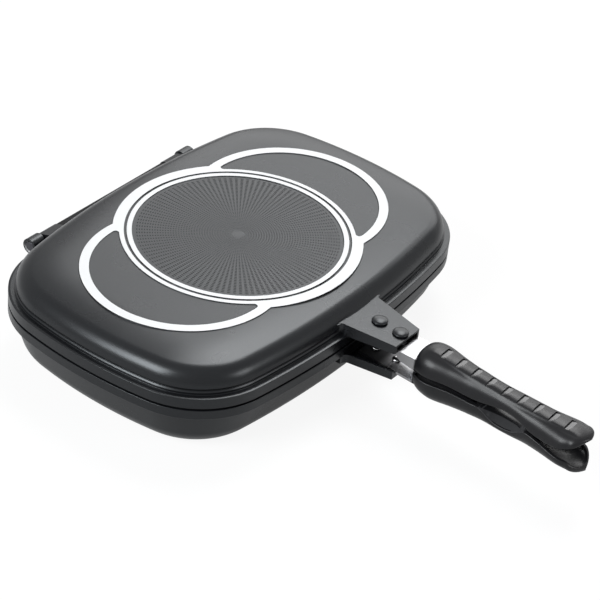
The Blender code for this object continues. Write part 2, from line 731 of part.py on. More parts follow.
def make_upper_shank(half, steel):
    ramp = -BRACKET_END + FLANGE_RAMP / 2
    stations = [
        (-SHANK_START, SHANK_HALF_WIDTH, FLANGE_STUB),
        (ramp, SHANK_HALF_WIDTH, FLANGE_STUB),
        (ramp - FLANGE_RAMP, SHANK_HALF_WIDTH, FLANGE_ROOT_DEPTH),
        (-GRIP_FRONT - FLANGE_REACH, SHANK_HALF_WIDTH, FLANGE_DEPTH),
        (-TANG_START, SHANK_HALF_WIDTH, FLANGE_STUB),
        (-TANG_START - TANG_NARROWING, TANG_HALF_WIDTH, FLANGE_STUB),
        (-TANG_END, TANG_HALF_WIDTH, FLANGE_STUB),
    ]
    rings = section_rings([(y, channel_section(width, depth)) for y, width, depth in stations])
    obj = add_part("upper_shank", ring_mesh("upper_shank", rings), half, steel)
    low = UPPER_SHANK_TOP - FLANGE_STUB - OVERRUN
    for y in RIVET_PLACES:
        shape_with(obj, rivet_hole("upper_shank_hole", y, low, UPPER_SHANK_TOP + OVERRUN), half, "DIFFERENCE")
    hole = screw_hole("upper_shank_screw_hole", low, UPPER_SHANK_TOP + OVERRUN)
    shape_with(obj, hole, half, "DIFFERENCE")


def strap_section(half, top):
    low = top - SHANK_THICKNESS
    return [(half, low), (half, top), (-half, top), (-half, low)]


def make_lower_shank(half, steel):
    stations = [
        (-SHANK_START, SHANK_HALF_WIDTH),
        (-GRIP_FRONT, SHANK_HALF_WIDTH),
        (-TANG_START, SHANK_HALF_WIDTH),
        (-TANG_START - TANG_NARROWING, TANG_HALF_WIDTH),
        (-TANG_END, TANG_HALF_WIDTH),
    ]
    rings = section_rings([(y, strap_section(width, lower_shank_top(y))) for y, width in stations])
    obj = add_part("lower_shank", ring_mesh("lower_shank", rings), half, steel)
    high = OVERRUN - LOWER_SHANK_DROP
    low = lower_shank_top(-TANG_END) - SHANK_THICKNESS - OVERRUN
    for y in RIVET_PLACES:
        shape_with(obj, rivet_hole("lower_shank_hole", y, low, high), half, "DIFFERENCE")
    shape_with(obj, screw_hole("lower_shank_screw_hole", low, high), half, "DIFFERENCE")


# Grips

def screw_place():
    return -TANG_END + SCREW_END_MARGIN


def screw_hole(name, low, high):
    return upright(name, SCREW_RADIUS + SEAT_GAP, screw_place(), low, high)


def share_at(shares, along, column):
    """A column of a grip's shares at a place along it, straight between its rows."""
    for low, high in zip(shares, shares[1:]):
        if along <= high[0]:
            part = (along - low[0]) / (high[0] - low[0])
            return low[column] + (high[column] - low[column]) * part
    return shares[-1][column]


def grip_ring(shares, side):
    """A grip's cross-section at one place: a flat inner face under a rounded back."""
    along, width, crown, edge = shares
    foot = GRIP_HEIGHT * edge
    rise = GRIP_HEIGHT * crown - foot
    half = GRIP_HALF_WIDTH * width
    power = 2 / GRIP_SECTION_POWER
    ring = []
    for i in range(GRIP_STEPS + 1):
        across = math.cos(math.pi * i / GRIP_STEPS)
        up = abs(math.sin(math.pi * i / GRIP_STEPS))
        x = half * math.copysign(abs(across) ** power, across)
        ring.append((x, -GRIP_FRONT - GRIP_LENGTH * along, side * (foot + rise * up ** power)))
    return ring


def notch_mesh(shares, side, index):
    """A ramped notch across a grip's crown, steep toward the pan."""
    front = NOTCH_START + NOTCH_PITCH * index
    back = front + NOTCH_LENGTH
    high = GRIP_HEIGHT * share_at(shares, front / GRIP_LENGTH, 2)
    low = GRIP_HEIGHT * share_at(shares, back / GRIP_LENGTH, 2)
    section = [
        (-GRIP_FRONT - front, high - NOTCH_DEPTH),
        (-GRIP_FRONT - back, low),
        (-GRIP_FRONT - back, low + OVERRUN),
        (-GRIP_FRONT - front, high + OVERRUN),
    ]
    loop = [(y, side * z) for y, z in section]
    return prism_mesh("grip_notch", [loop], -NOTCH_HALF_WIDTH, NOTCH_HALF_WIDTH, "X")


def trough_mesh(side, edge, depth):
    """A scoop in the inner face at the grip's tail, a scaled ball."""
    ball = arc(0, 0, 1, math.pi / 2, -math.pi / 2, GRIP_STEPS // 2)[1:-1]
    mesh = turned_mesh("grip_trough", ball, ROUND_STEPS)
    mesh.transform(Matrix.Diagonal((TROUGH_HALF_WIDTH, TROUGH_HALF_LENGTH, depth, 1)))
    y = -GRIP_END + TROUGH_WALL + TROUGH_HALF_LENGTH
    return moved_mesh(mesh, 0, y, side * edge)


def scallop_mesh(shares, side):
    """The raised middle between the two finger scallops: sloping sides under a flat top."""
    stations = []
    for along, part in SCALLOP_SHARES:
        foot = GRIP_HEIGHT * share_at(shares, along, 3)
        wide = GRIP_HALF_WIDTH * share_at(shares, along, 1) - SCALLOP_MARGIN
        slope = foot * part
        top = foot - slope * SCALLOP_SLOPE
        right = [(wide, side * (foot + WALL / 2)), (wide, side * foot), (wide - slope, side * top)]
        stations.append((-GRIP_FRONT - GRIP_LENGTH * along, right + mirrored(right)[::-1]))
    return ring_mesh("grip_scallop", section_rings(stations))


def make_grip(name, shares, half, side, seat, bite, depth, bakelite):
    """A grip shell: seat is its shank's outer face, bite is how deep its screw hole goes."""
    rings = [grip_ring(row, side) for row in shares]
    obj = add_part(name, ring_mesh(name, rings), half, bakelite)
    mouth = SHANK_HALF_WIDTH + SEAT_GAP
    slot = TANG_HALF_WIDTH + SEAT_GAP
    step = -TANG_START - TANG_NARROWING
    front = -GRIP_FRONT + OVERRUN
    back = -TANG_END - SEAT_GAP
    right = [(mouth, front), (mouth, step), (slot, step), (slot, back)]
    plan = right + mirrored(right)[::-1]
    heights = sorted((-side * OVERRUN, seat + side * SEAT_GAP))
    shape_with(obj, prism_mesh(name + "_socket", [plan], *heights), half, "DIFFERENCE")
    heights = sorted((seat, bite + side * SEAT_GAP))
    shape_with(obj, screw_hole(name + "_screw_hole", *heights), half, "DIFFERENCE")
    tail_edge = GRIP_HEIGHT * share_at(shares, 1 - TROUGH_HALF_LENGTH / GRIP_LENGTH, 3)
    shape_with(obj, trough_mesh(side, tail_edge, depth), half, "DIFFERENCE")
    for index in range(NOTCH_COUNT):
        shape_with(obj, notch_mesh(shares, side, index), half, "DIFFERENCE")
    return obj


def make_grip_screw(name, half, side, seat, bite, steel):
    """A pan head screw: its head on the shank's inner face, its thread in the grip."""
    inner = seat - side * (SHANK_THICKNESS + SEAT_GAP)
    head = [(SCREW_HEAD_RADIUS * a, inner - side * SCREW_HEAD_RISE * b) for a, b in SCREW_HEAD_SHARES]
    profile = head + [(SCREW_HEAD_RADIUS, inner), (SCREW_RADIUS, inner), (SCREW_RADIUS, bite)]
    mesh = moved_mesh(turned_mesh(name, profile, ROUND_STEPS), 0, screw_place(), 0)
    add_part(name, mesh, half, steel)


def make_magnet(name, half, side, seat, grey):
    """A bar magnet that lies against the shank's inner face."""
    width = TANG_HALF_WIDTH - SHANK_THICKNESS - SEAT_GAP
    start = -GRIP_FRONT - MAGNET_SETBACK
    inner = seat - side * (SHANK_THICKNESS + SEAT_GAP)
    low, high = sorted((inner, inner - side * MAGNET_HEIGHT))
    add_part(name, box_mesh(name, (-width, start - MAGNET_LENGTH, low), (width, start, high)), half, grey)


def make_handles(lower, upper, bakelite, steel, grey):
    """Shank, grip, screw and magnet of each handle half."""
    make_upper_shank(upper, steel)
    make_lower_shank(lower, steel)
    upper_seat = UPPER_SHANK_TOP
    upper_bite = upper_seat + SCREW_BITE
    lower_seat = lower_shank_top(-TANG_END) - SHANK_THICKNESS
    lower_bite = lower_seat - SCREW_BITE
    make_grip(
        "upper_grip", UPPER_GRIP_SHARES, upper, 1, upper_seat, upper_bite, UPPER_TROUGH_DEPTH, bakelite)
    lower_grip = make_grip(
        "lower_grip", LOWER_GRIP_SHARES, lower, -1, lower_seat, lower_bite, LOWER_TROUGH_DEPTH, bakelite)
    shape_with(lower_grip, scallop_mesh(LOWER_GRIP_SHARES, -1), lower, "UNION")
    make_grip_screw("upper_grip_screw", upper, 1, upper_seat, upper_bite, steel)
    make_grip_screw("lower_grip_screw", lower, -1, lower_seat, lower_bite, steel)
    make_magnet("upper_magnet", upper, 1, upper_seat, grey)
    make_magnet("lower_magnet", lower, -1, lower_seat, grey)


def make_rivets(lower, upper, coated, steel):
    low = -LOWER_BRACKET_TOP - LOWER_BRACKET_HEIGHT
    for number, y in enumerate(RIVET_PLACES, 1):
        inside = UPPER_SHANK_TOP - SHANK_THICKNESS
        name = f"upper_rivet_{number}"
        add_part(name, rivet_mesh(name, y, bracket_top(y + RIVET_HEAD_RADIUS), inside), upper, coated)
        name = f"lower_rivet_{number}"
        add_part(name, rivet_mesh(name, y, low, lower_shank_top(y)), lower, steel)


def make_pans(lower, upper, coated):
    obj = add_part("lower_pan", outline_mesh("lower_pan", lower_profile()), lower, coated)
    add_ribs(obj, lower, -LOWER_DEPTH - RIB_RISE, -LOWER_DEPTH + WALL / 2)
    add_knuckles(obj, lower, -1, LOWER_RIM_DROP, OUTER_KNUCKLE_RADIUS, KNUCKLE_OUTER_START, KNUCKLE_OUTER_END)
    add_lower_bracket(obj, lower)
    cut_bore(obj, lower)
    obj = add_part("upper_pan", outline_mesh("upper_pan", upper_profile()), upper, coated)
    crown = UPPER_HEIGHT + CROWN_RISE
    add_ribs(obj, upper, crown - WALL * RIB_ROOT_SHARE, crown + RIB_RISE)
    add_ridges(obj, upper)
    add_knuckles(obj, upper, 1, UPPER_RIM_RISE, INNER_KNUCKLE_RADIUS, INNER_KNUCKLE_START, KNUCKLE_INNER_END)
    add_upper_bracket(obj, upper)
    cut_bore(obj, upper)


def make_gasket(lower, silicone):
    """The seal ring in the lower rim's groove, its bead just under the upper rim."""
    near = GROOVE_INSET + SEAT_GAP
    far = GROOVE_INSET + GROOVE_WIDTH - SEAT_GAP
    foot = SEAT_GAP - RIM_FACE - GROOVE_DEPTH
    bead = RIM_FACE - SEAT_GAP
    quarter = (far - near) / 4
    profile = [
        (near, foot),
        (near, -RIM_FACE),
        (near + quarter, bead),
        (far - quarter, bead),
        (far, -RIM_FACE),
        (far, foot),
    ]
    add_part("silicone_gasket", outline_mesh("silicone_gasket", profile, True), lower, silicone)


def build():
    clear_scene()
    coated = make_material("charcoal_coating", (0.13, 0.135, 0.145), 0.35, 0.42)
    steel = make_material("polished_steel", (0.80, 0.80, 0.80), 1.0, 0.18)
    black = make_material("black_steel", (0.03, 0.03, 0.032), 0.3, 0.45)
    bakelite = make_material("black_bakelite", (0.028, 0.028, 0.030), 0.0, 0.38)
    silicone = make_material("black_silicone", (0.015, 0.015, 0.015), 0.0, 0.70)
    grey = make_material("magnet_grey", (0.20, 0.20, 0.21), 0.4, 0.50)
    lower = make_half("lower_half", 0)
    upper = make_half("upper_half", HINGE_Y)
    make_pans(lower, upper, coated)
    make_gasket(lower, silicone)
    make_hinge(lower, steel, black)
    make_rivets(lower, upper, coated, steel)
    make_handles(lower, upper, bakelite, steel, grey)


build()
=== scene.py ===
# %% [markdown]
# # A double sided flip pan
#
# The frame is the finished model of the pan: every piece is there at its real size and place.
# This lesson dresses it. Each casting, rib, rivet and grip is made again with a fine surface
# on the same sizes, and then gets a finish that a maker of pans would recognise.

import math

import bmesh
import bpy
from mathutils import Matrix, Vector


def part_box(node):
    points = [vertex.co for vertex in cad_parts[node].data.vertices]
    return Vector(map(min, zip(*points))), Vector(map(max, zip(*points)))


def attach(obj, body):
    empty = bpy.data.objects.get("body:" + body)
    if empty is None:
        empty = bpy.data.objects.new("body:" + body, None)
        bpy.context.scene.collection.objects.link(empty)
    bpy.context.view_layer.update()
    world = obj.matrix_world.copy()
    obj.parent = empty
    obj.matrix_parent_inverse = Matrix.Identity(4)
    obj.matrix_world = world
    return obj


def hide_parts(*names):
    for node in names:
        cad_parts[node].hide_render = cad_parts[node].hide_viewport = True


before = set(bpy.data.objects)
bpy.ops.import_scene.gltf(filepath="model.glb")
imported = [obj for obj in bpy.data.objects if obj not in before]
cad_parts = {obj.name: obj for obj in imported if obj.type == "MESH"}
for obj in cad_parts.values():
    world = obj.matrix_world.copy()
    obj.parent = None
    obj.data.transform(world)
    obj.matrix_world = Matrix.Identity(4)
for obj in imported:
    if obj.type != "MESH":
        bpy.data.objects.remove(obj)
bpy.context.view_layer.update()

# %% [markdown]
# ## Where the pan is
#
# All sizes below are in metres, in the pan's own frame: X along the hinge, the handle toward -Y,
# and the origin at the pan's centre on the parting plane between the halves. The hinge tube is
# turned about the hinge axis, so the middle of its box gives that axis, and the pan's centre
# follows from it. Every mesh is made in the pan's frame and moved by PAN just before it is used.

# %% Shared sizes
PAN_HALF_LENGTH = 0.160
PAN_HALF_DEPTH = 0.1112
SIDE_ARC_RADIUS = 0.329
FRONT_ARC_RADIUS = 0.681
CORNER_RADIUS = 0.062
WALL = 0.0030
RIM_FACE = 0.0006
HINGE_Y = PAN_HALF_DEPTH + 0.0075
BRACKET_END = PAN_HALF_DEPTH + 0.0348
GRIP_FRONT = BRACKET_END + 0.0132
GRIP_LENGTH = 0.1313

tube_low, tube_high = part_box("hinge_sleeve")
hinge = (tube_low + tube_high) / 2
PAN = Matrix.Translation((0, hinge.y - HINGE_Y, hinge.z))
print("pan centre on the parting plane:", [round(v, 5) for v in PAN.translation])

# %% [markdown]
# ## Camera
#
# The picture was taken from far away with a long lens, so the pan hardly tapers. The eye, the
# three angles and the lens were fitted to the rim, the hinge and the rings, and are in metres
# and degrees. A camera looks along its own -Z, so its matrix holds right, up and minus forward.

# %% Camera
EYE = Vector((-0.9998, -0.7263, 0.8636))
YAW = math.radians(56.2)
PITCH = math.radians(35.65)
ROLL = math.radians(6.24)
LENS = 129.3

forward = Vector((math.sin(YAW) * math.cos(PITCH), math.cos(YAW) * math.cos(PITCH), -math.sin(PITCH)))
level = Vector((math.cos(YAW), -math.sin(YAW), 0))
upward = level.cross(forward)
right = math.cos(ROLL) * level + math.sin(ROLL) * upward
up = math.cos(ROLL) * upward - math.sin(ROLL) * level
turn = Matrix((right, up, -forward)).transposed().to_4x4()
camera = bpy.data.objects.new("camera", bpy.data.cameras.new("camera"))
camera.data.lens = LENS
camera.data.sensor_width = 36
camera.matrix_world = Matrix.Translation(PAN @ EYE) @ turn
camera.data.clip_end = 20
bpy.context.scene.collection.objects.link(camera)
bpy.context.scene.camera = camera
bpy.context.scene.view_settings.view_transform = "Standard"
print("camera at", [round(v, 4) for v in camera.matrix_world.translation])

# %% [markdown]
# ## Finishes as plain maths
#
# A finish is a small network of nodes. Wrapping a socket in a class that knows +, - and * lets
# the network be written as one line of Python, and each operator adds its Math node.
# Any other node comes from `node`, which takes its type, its settings and its inputs.

# %% Sockets that know maths
class Value:
    """An output socket that can be used in plain maths."""

    def __init__(self, finish, socket):
        self.finish = finish
        self.socket = socket

    def maths(self, operation, *inputs):
        return self.finish.node("ShaderNodeMath", {"operation": operation}, inputs)

    def __add__(self, other):
        return self.maths("ADD", self, other)

    def __sub__(self, other):
        return self.maths("SUBTRACT", self, other)

    def __rsub__(self, other):
        return self.maths("SUBTRACT", other, self)

    def __mul__(self, other):
        return self.maths("MULTIPLY", self, other)

    def apply(self, operation):
        return self.maths(operation, self)

    __radd__ = __add__
    __rmul__ = __mul__


class Finish:
    """A material with a Principled shader; constants go straight to its sockets."""

    def __init__(self, name, **constants):
        self.material = bpy.data.materials.new(name)
        self.material.use_nodes = True
        self.tree = self.material.node_tree
        self.shader = self.tree.nodes["Principled BSDF"]
        for key, value in constants.items():
            self.set(key.replace("_", " "), value)

    def fill(self, socket, value):
        if isinstance(value, Value):
            self.tree.links.new(value.socket, socket)
        elif socket.type == "RGBA":
            socket.default_value = (*value, 1)
        else:
            socket.default_value = value

    def set(self, name, value):
        self.fill(self.shader.inputs[name], value)

    def node(self, kind, settings=None, inputs=(), output=0):
        made = self.tree.nodes.new(kind)
        for key, value in (settings or {}).items():
            setattr(made, key, value)
        pairs = inputs.items() if isinstance(inputs, dict) else enumerate(inputs)
        for key, value in pairs:
            self.fill(made.inputs[key], value)
        return Value(self, made.outputs[output])

    def place(self):
        return self.node("ShaderNodeTexCoord", output="Object")

    def from_centre(self):
        """x, y and z from the pan's centre, and the distance from it in plan."""
        offset = tuple(-v for v in PAN.translation)
        moved = self.node("ShaderNodeMapping", {}, {0: self.place(), 1: offset})
        x, y, z = (self.node("ShaderNodeSeparateXYZ", {}, [moved], i) for i in range(3))
        return x, y, z, (x * x + y * y).apply("SQRT")

    def noise(self, scale, detail=2, rough=0.5, where=None):
        inputs = {"Vector": where or self.place(), "Scale": scale, "Detail": detail, "Roughness": rough}
        return self.node("ShaderNodeTexNoise", {}, inputs)

    def mix(self, factor, first, second):
        return self.node("ShaderNodeMix", {"data_type": "RGBA"}, {0: factor, 6: first, 7: second}, 2)

    def step(self, value, low, high):
        """0 below low, 1 above high, smooth between."""
        settings = {"interpolation_type": "SMOOTHSTEP"}
        return self.node("ShaderNodeMapRange", settings, {0: value, 1: low, 2: high, 3: 0, 4: 1})

    def bump(self, height, distance, strength=1):
        self.set("Normal", self.node(
            "ShaderNodeBump", {}, {"Height": height, "Distance": distance, "Strength": strength}))

    def painted_shade_spots(self, factor, colour):
        """Painted shade: matt spots of one colour, where the factor says, in place of the sheen."""
        matt = self.node("ShaderNodeBsdfDiffuse", {}, {"Color": colour})
        sheen = Value(self, self.shader.outputs[0])
        both = self.node("ShaderNodeMixShader", {}, {0: factor, 1: sheen, 2: matt})
        self.tree.links.new(both.socket, self.tree.nodes["Material Output"].inputs["Surface"])


# %% [markdown]
# ## Charcoal coating
#
# Both castings wear a sprayed non-stick coating. Its own colour is nearly black, and the grey
# that shows is the sheen of the lamps. A very fine noise gives the grain, and a slow one a
# little unevenness in the gloss. The centre disc of each hob side has rows of tiny dimples on
# spokes and rings, so they are worked out from radius and angle. The dimples are bumped, and
# their shade is painted on as matt near-black spots in place of the sheen.

# %% Charcoal coating
DISC_RADIUS = 0.0736
DIMPLE_SPOKES = 108
DIMPLE_PITCH = 0.0018
DIMPLE_DEPTH = 0.00016
HOB_MIDDLE = -0.0069
HOB_REACH = 0.0348
# near black painted into the dimples as their shade
DIMPLE_SHADE_BLACK = (0.004, 0.004, 0.005)


def coating(name, disc=False):
    finish = Finish(name, Metallic=0.0, Specular_IOR_Level=0.42, Specular_Tint=(0.93, 0.97, 1.0))
    grain = finish.noise(2600, 2, 0.6)
    patches = finish.noise(18, 3)
    speckle = finish.step(grain, 0.35, 0.70)
    colour = finish.mix(speckle, (0.004, 0.0045, 0.0055), (0.012, 0.0125, 0.0145))
    height = grain * 0.10
    if disc:
        x, y, z, radius = finish.from_centre()
        spokes = (y.maths("ARCTAN2", y, x) * DIMPLE_SPOKES).apply("COSINE") * 0.5 + 0.5
        rings = (radius * (math.tau / DIMPLE_PITCH)).apply("COSINE") * 0.5 + 0.5
        inside = 1 - finish.step(radius, DISC_RADIUS - 0.0030, DISC_RADIUS - 0.0015)
        outside = finish.step(radius, 0.002, 0.010)
        level = (z - HOB_MIDDLE).apply("ABSOLUTE")
        flat = finish.step(level, HOB_REACH - 0.0010, HOB_REACH - 0.0004)
        dimples = finish.step(spokes * rings, 0.30, 0.62) * inside * outside * flat
        # painted shade: matt near-black spots on the dimples in place of the sheen
        finish.painted_shade_spots(dimples * 0.55, DIMPLE_SHADE_BLACK)
        height = height - dimples
    finish.set("Base Color", colour)
    finish.set("Roughness", 0.24 + 0.08 * patches)
    finish.bump(height, DIMPLE_DEPTH, 0.8)
    return finish.material


plain_coating = coating("charcoal_coating")
disc_coating = coating("charcoal_coating_with_disc", True)
print("coating nodes:", len(disc_coating.node_tree.nodes))

# %% [markdown]
# ## Machined aluminium
#
# The tops of the ribs are skimmed flat on a lathe after coating, so bare bright aluminium shows.
# Fine turning marks run round the pan's centre: a wave over the radius, a little broken by noise.

# %% Machined aluminium
def machined():
    finish = Finish("machined_aluminium", Metallic=0.04, Specular_IOR_Level=0.3)
    radius = finish.from_centre()[3]
    marks = (radius * 9000 + finish.noise(30) * 6).apply("SINE")
    finish.set("Base Color", finish.mix(marks * 0.5 + 0.5, (0.74, 0.745, 0.75), (0.82, 0.825, 0.83)))
    finish.set("Roughness", 0.36 + marks * 0.04)
    finish.bump(marks, 0.00001, 0.6)
    return finish.material


bare_aluminium = machined()

# %% [markdown]
# ## Steel, bakelite, silicone and magnets
#
# The shanks are polished stainless steel with faint lengthwise polishing lines, bright where
# they show between bracket and grip, and painted near black and rougher as painted shade where
# these cover them. The grips are moulded bakelite: near black, satin, with the slightest orange
# peel. The seal is matt silicone.

# %% Steel, bakelite, silicone and magnets
def steel(name, colour, roughness, unshaded_span=None):
    """Steel with polishing lines; the span along Y gives where it shows bright, and outside it the steel gets
    painted shade, near black and rougher.
    """
    finish = Finish(name, Metallic=1.0)
    stretched = finish.node("ShaderNodeMapping", {}, {0: finish.place(), 3: (900, 30, 900)})
    lines = finish.noise(1, 3, 0.6, stretched)
    shade = finish.mix(lines, [0.86 * c for c in colour], colour)
    if unshaded_span:
        y = finish.node("ShaderNodeSeparateXYZ", {}, [finish.place()], "Y")
        # painted shade: near black and rougher under the bracket and inside the grips
        covered = 1 - finish.step(y, unshaded_span[0] - 0.002, unshaded_span[0]) + finish.step(y, unshaded_span[1], unshaded_span[1] + 0.012)
        shade = finish.mix(covered, shade, (0.02, 0.02, 0.022))
        roughness = roughness + covered * 0.3
    finish.set("Base Color", shade)
    finish.set("Roughness", roughness + lines * 0.08)
    finish.bump(lines, 0.00001, 0.5)
    return finish.material


def moulded(name, dark, light, roughness, peel, gloss=0.5):
    finish = Finish(name, Metallic=0.0, Specular_IOR_Level=gloss)
    fine = finish.noise(900, 2)
    slow = finish.noise(60, 3)
    finish.set("Base Color", finish.mix(slow, dark, light))
    finish.set("Roughness", roughness + slow * 0.10)
    finish.bump(fine, peel, 0.5)
    return finish.material


# where the shanks stay bright; outside this span they get painted shade
bright = (PAN.translation.y - GRIP_FRONT, PAN.translation.y - BRACKET_END + 0.003)
polished_steel = steel("polished_steel", (0.42, 0.42, 0.43), 0.16, bright)
rivet_steel = steel("rivet_steel", (0.70, 0.70, 0.71), 0.18)
rod_steel = steel("rod_steel", (0.09, 0.09, 0.10), 0.42)
MOULDED = (
    ("black_steel", (0.008, 0.008, 0.009), (0.014, 0.014, 0.015), 0.40, 0.00001, 0.08),
    ("black_bakelite", (0.009, 0.009, 0.010), (0.014, 0.014, 0.016), 0.28, 0.00002, 0.32),
    # matt bakelite of the scallop slopes: textured, and made lighter as painted light
    ("matt_bakelite", (0.045, 0.045, 0.048), (0.060, 0.060, 0.063), 0.50, 0.00004, 0.4),
    ("polished_bakelite", (0.020, 0.020, 0.022), (0.026, 0.026, 0.028), 0.16, 0.00001, 0.9),
    ("black_silicone", (0.010, 0.010, 0.010), (0.014, 0.014, 0.014), 0.60, 0.00002, 0.1),
    ("magnet_grey", (0.04, 0.04, 0.042), (0.06, 0.06, 0.062), 0.5, 0.00002, 0.2))
black_steel, *bakelites, silicone, magnet_grey = [moulded(*row) for row in MOULDED]
print("moulded finishes:", [row[0] for row in MOULDED])

# %% [markdown]
# ## Curves and corners
#
# The castings follow arcs and rounded corners, so a few helpers come first. `arc` gives points
# of an arc, `rounded` rounds the corners of a path, and `outline` gives the pan's plan moved
# inward by an inset: two side arcs, two long arcs and four corner arcs that touch them.

# %% Curves and corners
def arc(centre, radius, start, end, steps):
    turn = (end - start) / steps
    return [
        (centre[0] + radius * math.cos(start + turn * i), centre[1] + radius * math.sin(start + turn * i))
        for i in range(steps + 1)
    ]


def mirror(loop, x, y):
    """A loop turned round and mirrored where x or y is -1."""
    return [(x * a, y * b) for a, b in loop[::x * y]]


def rounded(corners, steps=4):
    """A path of (a, b, radius) corners with each corner turned into an arc."""
    path = [corners[0][:2]]
    for before, corner, after in zip(corners, corners[1:], corners[2:]):
        point = Vector(corner[:2])
        back = Vector(before[:2]) - point
        ahead = Vector(after[:2]) - point
        half = back.angle(ahead) / 2
        if corner[2] == 0 or half > 1.55:
            path.append(tuple(point))
            continue
        reach = min(corner[2] / math.tan(half), back.length * 0.49, ahead.length * 0.49)
        radius = reach * math.tan(half)
        middle = point + (back.normalized() + ahead.normalized()).normalized() * radius / math.sin(half)
        first = (point + back.normalized() * reach - middle).normalized()
        last = (point + ahead.normalized() * reach - middle).normalized()
        for i in range(steps + 1):
            path.append(tuple(middle + radius * first.slerp(last, i / steps, first)))
    path.append(corners[-1][:2])
    return path


SIDE_CENTRE = PAN_HALF_LENGTH - SIDE_ARC_RADIUS
FRONT_CENTRE = PAN_HALF_DEPTH - FRONT_ARC_RADIUS


def corner_centre():
    side = SIDE_ARC_RADIUS - CORNER_RADIUS
    front = FRONT_ARC_RADIUS - CORNER_RADIUS
    span = math.hypot(SIDE_CENTRE, FRONT_CENTRE)
    along = (side * side - front * front + span * span) / (2 * span)
    across = math.sqrt(side * side - along * along)
    return Vector((
        SIDE_CENTRE * (1 - along / span) - across * FRONT_CENTRE / span,
        FRONT_CENTRE * along / span - across * SIDE_CENTRE / span))


CORNER = corner_centre()
SIDE_TURN = math.atan2(CORNER.y, CORNER.x - SIDE_CENTRE)
FRONT_TURN = math.atan2(CORNER.y - FRONT_CENTRE, CORNER.x)


def outline(inset=0, side_steps=14, corner_steps=26, front_steps=16):
    side = arc((SIDE_CENTRE, 0), SIDE_ARC_RADIUS - inset, 0, SIDE_TURN, side_steps)
    corner = arc(CORNER, CORNER_RADIUS - inset, SIDE_TURN, FRONT_TURN, corner_steps)
    front = arc((0, FRONT_CENTRE), FRONT_ARC_RADIUS - inset, FRONT_TURN, math.pi / 2, front_steps)
    quarter = side[:-1] + corner[:-1] + front
    return quarter + mirror(quarter[:-1], -1, 1) + mirror(quarter[1:], -1, -1) + mirror(quarter[1:-1], 1, -1)


def inset_at(x, y):
    """How far inside the outline a point of the plan lies."""
    x, y = abs(x), abs(y)
    turn = math.atan2(y - CORNER.y, x - CORNER.x)
    if SIDE_TURN <= turn <= FRONT_TURN:
        return CORNER_RADIUS - math.hypot(x - CORNER.x, y - CORNER.y)
    side = SIDE_ARC_RADIUS - math.hypot(x - SIDE_CENTRE, y)
    return min(side, FRONT_ARC_RADIUS - math.hypot(x, y - FRONT_CENTRE))


print("corner arcs centre at", [round(v, 4) for v in CORNER], "outline points:", len(outline()))

# %% [markdown]
# ## Pieces
#
# A finished piece is a plain mesh in place, on an object that stays at the origin. `add_piece`
# moves a mesh from the pan's frame into the world, gives it its finishes and smooth shading,
# and lets it ride on its body. Normals weighted by face area keep wide faces looking flat
# beside their narrow rounded edges.

# %% Pieces
def mesh_from(name, bm):
    bmesh.ops.remove_doubles(bm, verts=bm.verts, dist=0.000001)
    bmesh.ops.recalc_face_normals(bm, faces=bm.faces)
    mesh = bpy.data.meshes.new(name)
    bm.to_mesh(mesh)
    bm.free()
    return mesh


def loft(name, rings, closed=False):
    """Quads between rings of (x, y, z) points, with flat ends unless it closes on itself."""
    bm = bmesh.new()
    rows = [[bm.verts.new(point) for point in ring] for ring in rings]
    pairs = list(zip(rows, rows[1:])) + ([(rows[-1], rows[0])] if closed else [])
    for low, high in pairs:
        for i in range(len(low)):
            bm.faces.new((low[i - 1], low[i], high[i], high[i - 1]))
    if not closed:
        bm.faces.new(rows[0])
        bm.faces.new(rows[-1])
    return mesh_from(name, bm)


def link(name, mesh):
    obj = bpy.data.objects.new(name, mesh)
    bpy.context.scene.collection.objects.link(obj)
    return obj


def evaluated(obj):
    """The object's mesh with its modifiers applied; the object is removed."""
    graph = bpy.context.evaluated_depsgraph_get()
    mesh = bpy.data.meshes.new_from_object(obj.evaluated_get(graph))
    bpy.data.objects.remove(obj)
    return mesh


def add_piece(name, mesh, body, materials, replaces=(), weighted=True):
    mesh.transform(PAN)
    for material in materials[len(mesh.materials):]:
        mesh.materials.append(material)
    mesh.shade_smooth()
    mesh.set_sharp_from_angle(angle=math.radians(50))
    obj = link(name, mesh)
    if weighted:
        step = obj.modifiers.new("weighted_normals", "WEIGHTED_NORMAL")
        step.keep_sharp = True
    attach(obj, body)
    if replaces:
        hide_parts(*replaces)
    print(name, "-", len(mesh.polygons), "faces")
    return obj


# %% [markdown]
# ## A profile carried round the outline
#
# A casting like this has one section all the way round. So the outline is a curve, the section
# is a second curve, and Geometry Nodes carries the second along the first. With its normals
# set to Z up, the section's X points out of the pan and its Y points down. The tree has its
# section as a named input, so both halves can use it.

# %% A tree that carries a section round a path
def new_tree(name, inputs):
    tree = bpy.data.node_groups.new(name, "GeometryNodeTree")
    tree.interface.new_socket("Geometry", in_out="INPUT", socket_type="NodeSocketGeometry")
    for title, kind in inputs:
        tree.interface.new_socket(title, in_out="INPUT", socket_type="NodeSocket" + kind)
    tree.interface.new_socket("Geometry", in_out="OUTPUT", socket_type="NodeSocketGeometry")
    return tree, tree.nodes.new("NodeGroupInput"), tree.nodes.new("NodeGroupOutput")


def wire(tree, kind, inputs, settings=None):
    """Adds a node; an input is a number, a socket, or a node for its first output."""
    made = tree.nodes.new(kind)
    for key, value in (settings or {}).items():
        setattr(made, key, value)
    for key, value in inputs.items():
        if isinstance(value, bpy.types.Node):
            value = value.outputs[0]
        if isinstance(value, bpy.types.NodeSocket):
            tree.links.new(value, made.inputs[key])
        else:
            made.inputs[key].default_value = value
    return made


